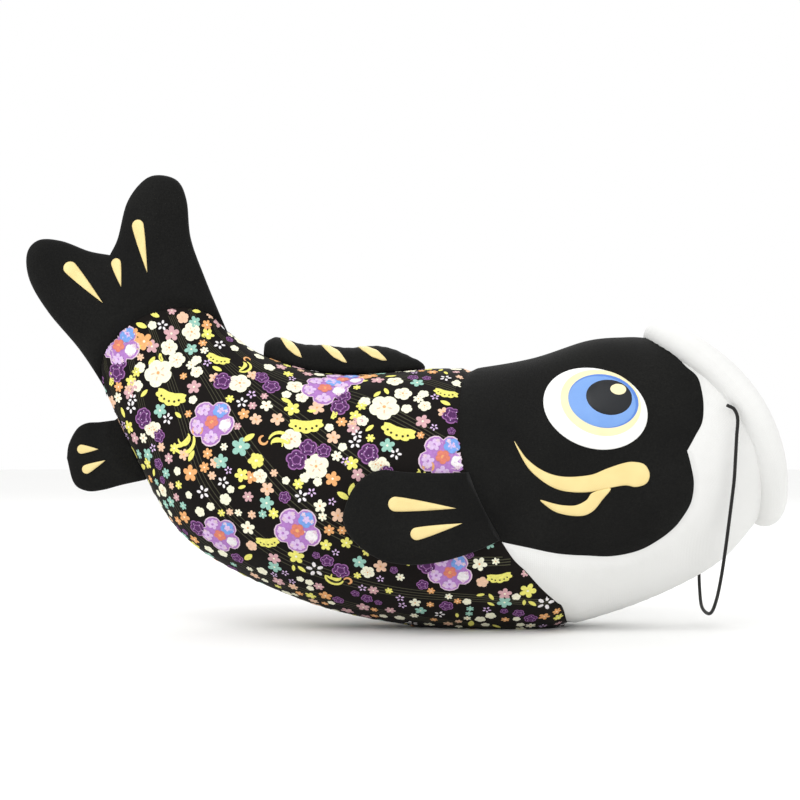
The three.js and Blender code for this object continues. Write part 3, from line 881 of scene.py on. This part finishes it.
def spread(shape, band, spacing=6.5):
    # points and triangles over a shape: a strip for a band, else rings shrinking to the middle
    n = len(shape)
    if band:
        k = np.arange(n // 2 - 1)
        halves = [np.stack([k, k + 1, n - 1 - k], 1), np.stack([k + 1, n - 2 - k, n - 1 - k], 1)]
        return shape, np.vstack(halves)
    middle = shape.mean(axis=0)
    rings = max(1, int(math.ceil(np.linalg.norm(shape - middle, axis=1).max() / spacing)))
    points = np.vstack([middle + (shape - middle) * k / rings for k in range(1, rings + 1)] + [middle[None]])
    k = np.arange(n)
    following = (k + 1) % n
    parts = [np.stack([k, following, np.full(n, len(points) - 1)], 1)]
    for r in range(rings - 1):
        inner, outer = r * n, (r + 1) * n
        parts += [np.stack([inner + k, outer + k, outer + following], 1),
                  np.stack([inner + k, outer + following, inner + following], 1)]
    return points, np.vstack(parts)


def drawPrint(loop):
    # streams, listed motifs on both sides, then small ones wherever cloth is still bare
    drawn = []
    taken = []
    half = math.pi * body["around"]

    def add(maker, ink, centre, size, turn, side):
        # later shapes of a motif lie a little higher, so that none is hidden
        for level, (shape, shade) in enumerate(layMotif(maker(size, ink), centre, turn, side)):
            drawn.append((shape, shade, maker is ribbonMotif, 0.3 + 0.07 * min(level, 6)))
        taken.append((centre[0], -side * centre[1], size))

    u = np.linspace(-44, 430, 80)
    for k in range(8):
        for strand in range(4):
            wave = 45 * k - 60 + 0.22 * u + 13 * np.sin(u / 60 + k * 0.9)
            wave = wave + strand * 3.2 * (1 + 0.4 * np.sin(u / 90))
            band = np.stack([u, wave], axis=1)[(wave > 2) & (wave < half - 3)]
            thin = np.vstack([band, band[::-1] + (0, 0.8)])
            drawn.extend((thin * (1, sign), "stream", True, 0.2) for sign in (1, -1))

    plan = motifList()
    places, over = inView(np.array([(x, z) for maker, x, z, size, turn, ink in plan], float))
    over &= insideLoop(places, loop)
    for (maker, x, z, size, turn, ink), centre, seen in zip(plan, places, over):
        angle = turn if turn is not None else rng.uniform(0, 2 * math.pi)
        if seen:
            for side in (-1, 1):
                add(maker, ink, centre, size, angle, side)

    handPlaced = len(taken)
    tries = rng.uniform((-50, -half), (430, half), (9000, 2))
    tries = tries[insideLoop(tries, loop)]
    kinds = [(starMotif, "orange"), (starMotif, "peach"), (starMotif, "lemon"), (starMotif, "mint"),
             (starMotif, "pink"), (roundMotif, "cream"), (plumMotif, "plum"), (pinwheelMotif, "plum"),
             (leafMotif, "lemon"), (starMotif, "cream"), (roundMotif, "cream")]
    stretches = [np.linalg.norm(tangent, axis=1) for tangent in skinFrame(*toSkin(tries))[2:]]
    held = np.array(taken)
    for centre, sx, sy in zip(tries, *stretches):
        size = rng.choice([8, 9, 11, 12, 14])
        gap = np.hypot((held[:, 0] - centre[0]) * sx, (held[:, 1] - centre[1]) * sy)
        if (gap < (held[:, 2] + size) / 2 * 0.92 + 0.8).any():
            continue
        maker, ink = kinds[rng.integers(len(kinds))]
        side = -1 if centre[1] > 0 else 1
        add(maker, ink, np.array([centre[0], abs(centre[1])]), size, rng.uniform(0, 6.28), side)
        held = np.vstack([held, [centre[0], centre[1], size]])
    print("print drawn: %d hand-placed motifs, %d filling in" % (handPlaced, len(taken) - handPlaced))
    return drawn


def printTorso(loop):
    # the torso panel with its inks laid on as a film a few tenths of a millimetre thick
    points, faces, uv = panelPieces(loop)
    ground = len(points)
    films, filmFaces, lifts, colours = [], [], [], []
    total = 0
    for shape, ink, band, lift in drawPrint(loop):
        shapePoints, shapeFaces = spread(shape, band)
        films.append(shapePoints)
        filmFaces.append(shapeFaces + total)
        lifts.append(np.full(len(shapePoints), lift))
        colours.append(np.tile(linear(inkColours[ink]), (len(shapePoints), 1)))
        total += len(shapePoints)
    film, filmFaces, lifts = np.vstack(films), np.vstack(filmFaces), np.concatenate(lifts)
    kept = insideLoop(film, loop)
    filmFaces = filmFaces[kept[filmFaces].all(axis=1)]
    filmPoints, filmNormal = clothPoints(film, loop, lifts)
    filmFaces = facing(filmPoints, filmFaces, filmNormal)
    used, filmFaces = np.unique(filmFaces, return_inverse=True)
    filmFaces = filmFaces.reshape(-1, 3) + ground
    torso = buildMesh("torsoCover", np.vstack([points, filmPoints[used]]), faces + filmFaces.tolist(),
                      printedCrepe, np.vstack([uv, film[used] * mm]))
    shades = np.vstack([np.tile(linear(inkColours["ground"]), (ground, 1)), np.vstack(colours)[used]])
    layer = torso.data.color_attributes.new(name="ink", type="FLOAT_COLOR", domain="POINT")
    layer.data.foreach_set("color", shades.astype(np.float32).ravel())
    return torso


def panelLoops():
    # the closed outlines of the torso, cap and face panels on the cloth
    rear, lower, front, hem = edgeCurves()
    half = math.pi * body["around"]
    v = np.linspace(half, -half, 90)
    tailEdge = np.stack([-body["tailBow"] * np.abs(np.sin(v / body["around"])), v], axis=1)
    belly = np.stack([np.linspace(hem[-1, 0], 0, 60)[1:-1], np.full(58, half)], axis=1)
    torso = np.vstack([rear[:-1], hem, belly, tailEdge, belly[::-1] * (1, -1), mirrored(hem)[:-1],
                       mirrored(rear)[:-1]])
    cap = np.vstack([rear[:-1], lower[:-1], front[:-1], mirrored(front)[:-1], mirrored(lower)[:-1],
                     mirrored(rear)[:-1]])
    lipU = 0.99 * body["along"]
    bellyFront = np.stack([np.linspace(hem[-1, 0], lipU, 50), np.full(50, half)], axis=1)
    lipEdge = np.stack([np.full(90, lipU), np.linspace(-half, half, 90)], axis=1)
    face = np.vstack([lower[:-1], front[:-1], mirrored(front)[:-1], mirrored(lower)[:-1],
                      hem[:-1] * (1, -1), bellyFront[:-1] * (1, -1), lipEdge[:-1], bellyFront[::-1][:-1],
                      hem[::-1][:-1]])
    return torso, cap, face


torsoLoop, capLoop, faceLoop = panelLoops()
declare(printTorso(torsoLoop), ["torso_cover"], "fish")
print("torso sewn")
declare(sewPanel("headCap", capLoop, blackCloth), ["head_cap"], "fish")
declare(sewPanel("faceCover", faceLoop, whiteCloth), ["face_cover"], "fish")
print("head sewn")


# lips, mouth and filling
lip = {"radius": 15.6, "lump": 0.5, "pucker": 0.3, "puckers": 62, "rows": 260, "sides": 30}
mouth = {"rings": 22, "columns": 96, "middle": 0.03, "rim": 0.92, "thickness": 2.2, "gather": 0.7}
filling = {"rows": 90, "columns": 110, "inset": 9.5, "tuft": 1.2, "end": 0.9}


def mouthPlace(v, spread=1.0, push=0.0):
    # the rim of the body's last section, shrunk to its middle by spread and pushed along the mouth's axis
    s = sections(np.ones_like(v))
    middle, half = (s[:, 0:2] + s[:, 2:4]) / 2, (s[:, 0:2] - s[:, 2:4]) / 2
    forward = unit(np.stack([half[:, 1], -half[:, 0]], axis=1))
    reach = body["mouthBulge"] * (np.sin(v) * spread) ** 2 + push
    flat = middle + half * (np.cos(v) * spread)[:, None] + forward * reach[:, None]
    return np.stack([flat[:, 0], -s[:, 4] * np.sin(v) * spread, flat[:, 1]], axis=1)


def makeLip():
    # a tube round the mouth's rim: r = R + slow lumps + puckers, deepest on the inner side
    v = np.linspace(0, 2 * math.pi, lip["rows"], endpoint=False)
    around = np.linspace(0, 2 * math.pi, lip["sides"], endpoint=False)
    centre = mouthPlace(v)
    ahead = unit(np.roll(centre, -1, axis=0) - np.roll(centre, 1, axis=0))
    s = sections(np.ones(1))[0]
    chord = np.array([s[0] - s[2], 0, s[1] - s[3]])
    forward = unit(np.array([chord[2], 0, -chord[0]]))
    outward = unit(np.cross(ahead, forward))
    lift = np.cross(outward, ahead)
    inner = np.clip(-np.cos(around), 0, 1)[None]
    radius = (lip["radius"] + lip["lump"] * np.sin(5 * v + 1)[:, None] * np.cos(around)[None]
              + lip["pucker"] * np.sin(lip["puckers"] * v)[:, None] * (0.4 + inner))
    points = centre[:, None] + radius[..., None] * (np.cos(around)[None, :, None] * outward[:, None]
                                                    + np.sin(around)[None, :, None] * lift[:, None])
    uv = np.stack(np.broadcast_arrays(v[:, None] * 0.09, around[None] * 0.0156), axis=-1)
    ringed = np.concatenate([points, points[:1]])
    uvRinged = np.concatenate([uv, uv[:1] + (0.565, 0)])
    faces = gridFaces(lip["rows"] + 1, lip["sides"], wrap=True)
    piece = buildMesh("lipRoll", ringed.reshape(-1, 3), faces, whiteCloth, uvRinged.reshape(-1, 2))
    faceOutwards(piece)
    declare(piece, ["lip_roll"], "fish")


def makeMouth():
    # a dish D(1 - share^2) deep, gathered a little, with a front and a back
    v = np.linspace(0, 2 * math.pi, mouth["columns"], endpoint=False)
    shares = np.linspace(mouth["middle"], mouth["rim"], mouth["rings"])
    back = np.linspace(mouth["rim"], mouth["middle"], mouth["rings"])
    rows = []
    for depth, share in [(0.0, share) for share in shares] + [(-mouth["thickness"], share) for share in back]:
        gather = mouth["gather"] * np.sin(17 * v) * share * (1 - share)
        rows.append(mouthPlace(v, share, depth - body["mouthDepth"] * (1 - share ** 2) + gather))
    points = np.vstack(rows)
    faces = gridFaces(len(rows), len(v), wrap=True).tolist() + endCaps(len(rows), len(v))
    piece = buildMesh("mouthLining", points, faces, whiteCloth, points[:, (1, 2)] * mm)
    faceOutwards(piece)
    declare(piece, ["mouth_lining"], "fish")


def makeFilling():
    # the body's skin moved inwards by inset + tuft times a product of two sine waves
    rows, columns = filling["rows"], filling["columns"]
    around = np.linspace(0, 2 * math.pi, columns, endpoint=False)
    u, v = np.meshgrid(np.linspace(0.0, filling["end"], rows), around, indexing="ij")
    place, normal = skinFrame(u.ravel(), v.ravel())[:2]
    tuft = np.sin(place @ (0.21, 0.17, -0.19)) * np.sin(place @ (-0.13, 0.23, 0.16))
    points = place - normal * (filling["inset"] + filling["tuft"] * tuft)[:, None]
    uv = np.stack([u.ravel() * body["along"], v.ravel() * body["around"]], axis=1) * mm
    faces = gridFaces(rows, columns, wrap=True).tolist() + endCaps(rows, columns)
    piece = buildMesh("bodyFilling", points, faces, fibre, uv)
    faceOutwards(piece)
    declare(piece, ["body_filling"], "fish")


makeLip()
makeMouth()
makeFilling()
print("lips, mouth and filling made")


# fins
fins = {
    "tailHalf": 20.0,  # half thicknesses, and how far in from the edge they are reached
    "tailReach": 48.0,
    "pectoralHalf": 8.0,
    "pectoralReach": 26.0,
    "analHalf": 9.0,
    "analReach": 26.0,
    "profile": 0.55,
    "pucker": 0.05,
    "puckerPitch": 11.0,
    "tuck": 8.0,  # the tail's root under the torso's edge
    "pectoralOut": 107.0,  # the chest fin's middle from the body's middle, at its tip
    "pectoralLean": 5.0,  # and this much further at its root, before it bends in by rootDip
    "rootDip": 14.0,
    "rootReach": 26.0,
    "tailUpper": [(-170, 286), (-177, 298), (-199, 351), (-212, 388), (-216, 425), (-225, 445),
                  (-244, 451), (-260, 445), (-276, 423), (-285, 388), (-293, 371)],
    "tailLower": [(-293, 371), (-314, 375), (-341, 385), (-364, 386), (-376, 372), (-373, 345),
                  (-354, 313), (-323, 276), (-299, 239), (-296, 228)],
    "pectoralTop": [(63, 157.3), (31, 157), (0, 158), (-18, 160), (-34, 155), (-48, 141), (-56, 121),
                    (-57, 112)],
    "pectoralBottom": [(-57, 112), (-53, 101), (-40, 86), (-19, 74), (8, 70), (36, 73), (63, 81),
                       (93, 92.7)],
    "analTop": [(-288, 206), (-303, 204), (-316, 203), (-326, 197), (-334, 182), (-336, 168)],
    "analRoot": [(-254.5, 148), (-269, 179), (-284.5, 208)],  # slipped under the belly seam
    "analBottom": [(-336, 168), (-329, 143), (-316, 135), (-300, 136), (-281, 141), (-258, 146)],
}


def tailRootLine():
    # the torso's bowed rear edge on the right side
    v = np.linspace(0, math.pi, 60)
    return skin(-body["tailBow"] / body["along"] * np.sin(v), v)


def tailSwell(flat):
    # rounded from the free edge, and held down where the torso's seam grips it
    free = np.vstack([splineThrough(fins["tailUpper"])[:-1], splineThrough(fins["tailLower"])])
    distance, run = edgeDistance(flat, free, closed=False)
    swell = pillow(distance, run, fins["tailHalf"], fins["tailReach"])
    root = tailRootLine()
    seam = root[:, (0, 2)]
    gap, along = edgeDistance(flat, seam, closed=False)
    lengths = np.concatenate([[0], np.cumsum(np.linalg.norm(np.diff(seam, axis=0), axis=1))])
    grip = np.maximum(-root[:, 1] - 4.2, 2.5)
    torso = insideLoop(flat, np.vstack([seam, [(0, 100), (0, 350)]]))  # the side ahead of the seam
    limit = np.interp(along, lengths, grip) + np.where(torso, -0.35, 0.55) * gap
    return np.maximum(np.minimum(swell, limit), 0), distance


def pillow(distance, run, half, reach):
    # half thickness T(1 - (1 - d/R)^2)^p, with puckers along the seam
    part = 1 - (1 - np.clip(distance / reach, 0, 1)) ** 2
    pucker = 1 - fins["pucker"] * np.sin(2 * math.pi * run / fins["puckerPitch"]) * np.exp(-distance / 9)
    return half * part ** fins["profile"] * pucker


def flapSwell(flat, fin, rootHalf, rootSlope):
    # a pillow pressed to rootHalf along its root; also gives the distance to the root
    top, bottom = fins[fin + "Top"], fins[fin + "Bottom"]
    free = np.vstack([splineThrough(top)[:-1], splineThrough(bottom)])
    distance, run = edgeDistance(flat, free, closed=False)
    root = edgeDistance(flat, np.array([bottom[-1], top[0]], float), closed=False)[0]
    swell = pillow(distance, run, fins[fin + "Half"], fins[fin + "Reach"])
    return np.minimum(swell, rootHalf + rootSlope * root), root


def pectoralSwell(flat):
    return flapSwell(flat, "pectoral", 1.0, 0.25)


def analSwell(flat):
    return flapSwell(flat, "anal", 2.4, 0.4)


def pectoralMiddle(flat, root):
    # leans towards the body at the tip, and is drawn in to it along the root
    share = (flat[:, 0] + 57) / 146  # from the tip to the root
    bend = np.clip(1 - root / fins["rootReach"], 0, 1) ** 1.5
    return fins["pectoralOut"] + fins["pectoralLean"] * share - fins["rootDip"] * bend


def makeFin(name, loop, swellOf, middleOf, side, step):
    # two cloths, middle + swell and middle - swell, joined round the outline
    flat, triangles = cutCloth(loop, step, rims=(0.7, 1.8, 3.4))
    swell, root = swellOf(flat)
    middle = middleOf(flat, root)
    near = np.stack([flat[:, 0], side * (middle + swell), flat[:, 1]], axis=1)
    far = np.stack([flat[:, 0], side * (middle - swell), flat[:, 1]], axis=1)
    count = len(flat)
    rim = rimEdges(triangles)
    walls = np.stack([rim[:, 0], rim[:, 1], rim[:, 1] + count, rim[:, 0] + count], axis=1)
    solid = swell[rim].max(axis=1) > 0.05
    points = np.vstack([near, far])
    every = np.arange(count)
    closed = np.concatenate([every, np.where(swell < 0.05, every, every + count)])
    faces = triangles.tolist() + closed[triangles[:, ::-1] + count].tolist()
    faces += [list(dict.fromkeys(closed[wall].tolist())) for wall in walls[solid]]
    piece = buildMesh(name, points, faces, blackCloth, np.vstack([flat, flat + (0.5, 0)]) * mm)
    faceOutwards(piece)
    return piece


def flatMiddle(flat, root):
    # the tail and the belly fin stand on the body's middle plane
    return np.zeros(len(flat))


tailRoot = tailRootLine()[::-1, (0, 2)][5:-5] + np.array([0.43, -0.9]) * fins["tuck"]
tailLoop = np.vstack([splineThrough(fins["tailUpper"])[:-1], splineThrough(fins["tailLower"])[:-1], tailRoot])
declare(makeFin("tailFin", tailLoop, tailSwell, flatMiddle, 1, 4.5), ["tail_fin"], "fish")
pectoralLoop = np.vstack([splineThrough(fins["pectoralTop"])[:-1], splineThrough(fins["pectoralBottom"])])
for side, word in ((-1, "right"), (1, "left")):
    declare(makeFin("pectoralFin" + word.title(), pectoralLoop, pectoralSwell, pectoralMiddle, side, 3.5),
            ["pectoral_fin_" + word], "pectoral_" + word)
analLoop = np.vstack([splineThrough(fins["analTop"])[:-1], splineThrough(fins["analBottom"]),
                      fins["analRoot"]])
declare(makeFin("analFin", analLoop, analSwell, flatMiddle, 1, 3.5), ["anal_fin"], "belly_fin")
print("tail and paired fins made")

# back fin
dorsal = {
    "from": 0.095,  # along u
    "to": 0.445,
    "height": 52.0,
    "lift": -1.5,
    "rows": 110,
    "columns": 20,
    "gathers": 17,
    "outline": [(0, 0.5), (0.09, 0.86), (0.25, 0.84), (0.4, 0.95), (0.55, 0.91), (0.7, 0.95), (0.8, 0.81),
                (0.87, 0.58), (0.93, 0.36), (1, 0.15)],
    "leaves": [(-124, 288, -101, 268), (-83, 281, -56, 263), (-46, 279, -16, 265)],
    "leafWidth": 7.0,
}


def dorsalTall(u):
    # the scalloped height: a spline through the outline's shares
    share = (u - dorsal["from"]) / (dorsal["to"] - dorsal["from"])
    return dorsal["height"] * np.interp(share, *catmullRom(dorsal["outline"], 8).T)


def dorsalPlace(u, t, offset):
    # a flap leaning to the left: middle surface, moved along its normal by offset
    tall = dorsalTall(u)
    base = skin(u, np.zeros_like(u))
    y = tall * (0.45 * t + 0.4 * t ** 2)
    z = dorsal["lift"] + tall * (0.88 * t - 0.36 * t ** 2)
    normal = unit(np.stack([np.zeros_like(t), -(0.88 - 0.72 * t), 0.45 + 0.8 * t], axis=-1))
    place = base + np.stack([np.zeros_like(t), y, z], axis=-1)
    return place + normal * np.asarray(offset)[..., None], normal


def dorsalHalf(u, t):
    # half thickness: 2.6 at the root, about 7.8 in the middle, closing to the edge and to both ends
    share = (u - dorsal["from"]) / (dorsal["to"] - dorsal["from"])
    toEnds = np.clip(1 - np.abs(2 * share - 1) ** 10, 0, 1)
    closing = np.sqrt(np.clip(1 - t ** 6, 0, 1)) * np.sqrt(toEnds)
    gather = 0.35 * np.sin(2 * math.pi * share * dorsal["gathers"])
    return (2.6 + (5.2 + gather) * np.sin(math.pi * np.clip(t, 0, 1) ** 0.8) ** 0.7) * closing


def makeDorsal():
    # the leaning middle surface, thickened to both sides; rows of points are closer near the free edge
    rows, columns = dorsal["rows"], dorsal["columns"]
    along = np.linspace(dorsal["from"], dorsal["to"], rows)
    u, t = np.meshgrid(along, 1 - (1 - np.linspace(0, 1, columns)) ** 1.6, indexing="ij")
    half = dorsalHalf(u, t).ravel()
    outer = dorsalPlace(u.ravel(), t.ravel(), half)[0].reshape(rows, columns, 3)
    inner = dorsalPlace(u.ravel(), t.ravel(), -half)[0].reshape(rows, columns, 3)
    points = np.concatenate([outer, inner[:, ::-1]], axis=1)
    over = np.concatenate([t, 2 - t[:, ::-1]], axis=1)
    uv = np.stack(np.broadcast_arrays(u[:, :1] * body["along"], over * dorsal["height"]), axis=-1) * mm
    faces = gridFaces(rows, 2 * columns, wrap=True).tolist() + endCaps(rows, 2 * columns)
    piece = buildMesh("dorsalFin", points.reshape(-1, 3), faces, blackCloth, uv.reshape(-1, 2))
    faceOutwards(piece)
    return piece


# stitched marks
marks = {
    "tailDrops": [(-330, 357, -297, 322, 6.5), (-285, 362, -279, 338, 5), (-263, 399, -253, 352, 6)],
    "pectoralDrops": [(-7, 128, 50, 124, 7), (13, 100, 56, 110, 6)],
    "analDrops": [(-320, 177, -303, 177, 4.5), (-315, 157, -296, 166, 4.5)],
    "gillHook": [(106, 187), (117, 171), (133, 159), (152, 153.5), (177, 155), (193, 161), (208, 166),
                 (218, 167.5), (229, 165), (234, 156), (231, 147), (221, 143.5), (211, 145), (198, 143),
                 (179, 139), (162, 138.5), (146, 141.5), (131, 150), (117, 164)],
    "gillBranch": [(197, 142.2), (189, 131), (181, 121), (171, 116), (156, 116.5), (142, 121), (130, 131),
                   (142, 128), (152, 126), (164, 126), (174, 131), (180, 138.2)],
    "raise": 1.3,
    "edge": 0.9,
}
eye = [  # centre x, z, half axes, tilt, height, thread
    ((184, 218.5), (50, 38.5), -15, 0.0, whiteThread),
    ((189, 223), (39.5, 32.5), -14, 0.35, paleThread),
    ((191.5, 224.5), (34.3, 26.8), -8, 0.7, deepBlueThread),
    ((190.5, 224), (32.6, 25), -8, 1.05, blueThread),
    ((197, 227.5), (22.7, 18), -4, 1.4, pupilThread),
    ((206, 235), (8.5, 6.3), -4, 1.75, paleThread),
]


def ellipse(centre, radii, tilt, count=64):
    a = np.linspace(0, 2 * math.pi, count, endpoint=False)
    p, q = radii[0] * np.cos(a), radii[1] * np.sin(a)
    c, s = math.cos(math.radians(tilt)), math.sin(math.radians(tilt))
    return np.stack([centre[0] + p * c - q * s, centre[1] + p * s + q * c], axis=1)


def drop(x, z, tipX, tipZ, radius):
    # a round head drawn out to a tip
    a = np.linspace(math.pi / 2, 1.5 * math.pi, 12)
    length = math.hypot(tipX - x, tipZ - z)
    share = np.linspace(0, 1, 12)[1:-1]
    taper = radius * (1 - share ** 1.3)
    side = np.stack([share * length, -taper], axis=1)
    local = np.vstack([np.stack([radius * np.cos(a), radius * np.sin(a)], axis=1), side, [(length, 0)],
                       side[::-1] * (1, -1)])
    c, s = (tipX - x) / length, (tipZ - z) / length
    return np.stack([x + local[:, 0] * c - local[:, 1] * s, z + local[:, 0] * s + local[:, 1] * c], axis=1)


def closedSpline(points):
    # a smooth closed curve: the spline run over its own start, and one lap of it kept
    doubled = catmullRom(np.vstack([points[-2:], points, points[:3]]).astype(float), 7)
    return doubled[14:14 + 7 * len(points)]


def leaf(x, z, tipX, tipZ, width):
    # a lens from end to tip: half width w/2 sin^0.8
    s = np.linspace(0, 1, 15)
    half = width / 2 * np.sin(math.pi * s) ** 0.8
    length = math.hypot(tipX - x, tipZ - z)
    c, d = (tipX - x) / length, (tipZ - z) / length
    up = np.stack([x + s * length * c - half * d, z + s * length * d + half * c], axis=1)
    down = np.stack([x + s * length * c + half * d, z + s * length * d - half * c], axis=1)
    return np.vstack([up, down[::-1][1:-1]])


def stitch(loop, surface, height=0.0, step=3.0, turn=0.0):
    # a patch of thread standing on a surface, rounded to its edge: all points, faces, cloth places
    flat, triangles = cutCloth(loop, step, rims=(0.5, 1.2))
    distance = edgeDistance(flat, loop)[0]
    points, normal = surface(flat, 0.25 + height + marks["raise"] * (1 - np.exp(-distance / marks["edge"])))
    points, faces, uv = hemmed(flat, triangles, points, normal, 1.2 + height)
    c, s = math.cos(turn), math.sin(turn)
    return points, faces, np.stack([uv[:, 0] * c - uv[:, 1] * s, uv[:, 0] * s + uv[:, 1] * c], axis=1)


def buildStitched(name, layers):
    # layers of patches, each with its own thread, as one object
    points, faces, uv, threads = [], [], [], []
    total = 0
    for (patchPoints, patchFaces, patchUv), thread in layers:
        points.append(patchPoints)
        uv.append(patchUv)
        faces += [[k + total for k in face] for face in patchFaces]
        threads += [thread] * len(patchFaces)
        total += len(patchPoints)
    order = list(dict.fromkeys(threads))
    piece = buildMesh(name, np.vstack(points), faces, order[0], np.vstack(uv))
    for thread in order[1:]:
        piece.data.materials.append(thread)
    piece.data.polygons.foreach_set("material_index", [order.index(thread) for thread in threads])
    return piece


def onHead(flat, lift):
    return clothPoints(flat, capLoop, lift)


def onFin(swellOf, middleOf, side):
    # gives a surface function for the outer face of a fin
    def surface(flat, lift):
        swell, root = swellOf(flat)
        outward = middleOf(flat, root) + swell + lift
        normal = np.tile((0.0, side, 0.0), (len(flat), 1))
        return np.stack([flat[:, 0], side * outward, flat[:, 1]], axis=1), normal
    return surface


def onDorsal(flat, lift):
    # the back fin's face at side-view places: the lean's parabola solved for t
    u = np.interp(flat[:, 0], *sortedBack())
    base = skin(u, np.zeros_like(u))
    q = np.clip((flat[:, 1] - base[:, 2] - dorsal["lift"] - 4) / dorsalTall(u), 0.0, 0.5)
    t = (0.88 - np.sqrt(np.maximum(0.7744 - 1.44 * q, 0.0004))) / 0.72
    return dorsalPlace(u, t, dorsalHalf(u, t) + lift)


def makeMarks():
    # every mark on the right side, then its mirror on the left
    for side, word in ((-1, "right"), (1, "left")):
        flip = np.array([1, -side])
        layers = []
        for centre, radii, tilt, height, thread in eye:
            loop = locate(ellipse(centre, radii, tilt)) * flip
            layers.append((stitch(loop, onHead, height), thread))
        declare(buildStitched("eye" + word.title(), layers), ["eye_patch_" + word], "fish")
        for name, node in (("gillHook", "gill_hook_"), ("gillBranch", "gill_branch_")):
            loop = locate(closedSpline(np.array(marks[name]))) * flip
            patch = stitch(loop, onHead, turn=0.9)
            declare(buildStitched(name + word.title(), [(patch, goldThread)]), [node + word], "fish")
        kinds = (("tail", "fish", tailSwell, flatMiddle),
                 ("pectoral", "pectoral_" + word, pectoralSwell, pectoralMiddle),
                 ("anal", "belly_fin", analSwell, flatMiddle))
        for kind, rider, swellOf, middleOf in kinds:
            for k, shape in enumerate(marks[kind + "Drops"]):
                patch = stitch(drop(*shape), onFin(swellOf, middleOf, side), step=2.2, turn=0.6)
                piece = buildStitched("%sDrop%d%s" % (kind, k + 1, word.title()), [(patch, goldThread)])
                declare(piece, ["%s_drop_%d_%s" % (kind, k + 1, word)], rider)


declare(makeDorsal(), ["dorsal_fin"], "back_fin")
makeMarks()
for k, shape in enumerate(dorsal["leaves"]):
    patch = stitch(leaf(*shape, dorsal["leafWidth"]), onDorsal, step=2.2)
    piece = buildStitched("dorsalLeaf%d" % (k + 1), [(patch, goldThread)])
    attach(piece, "back_fin")
print("marks stitched")
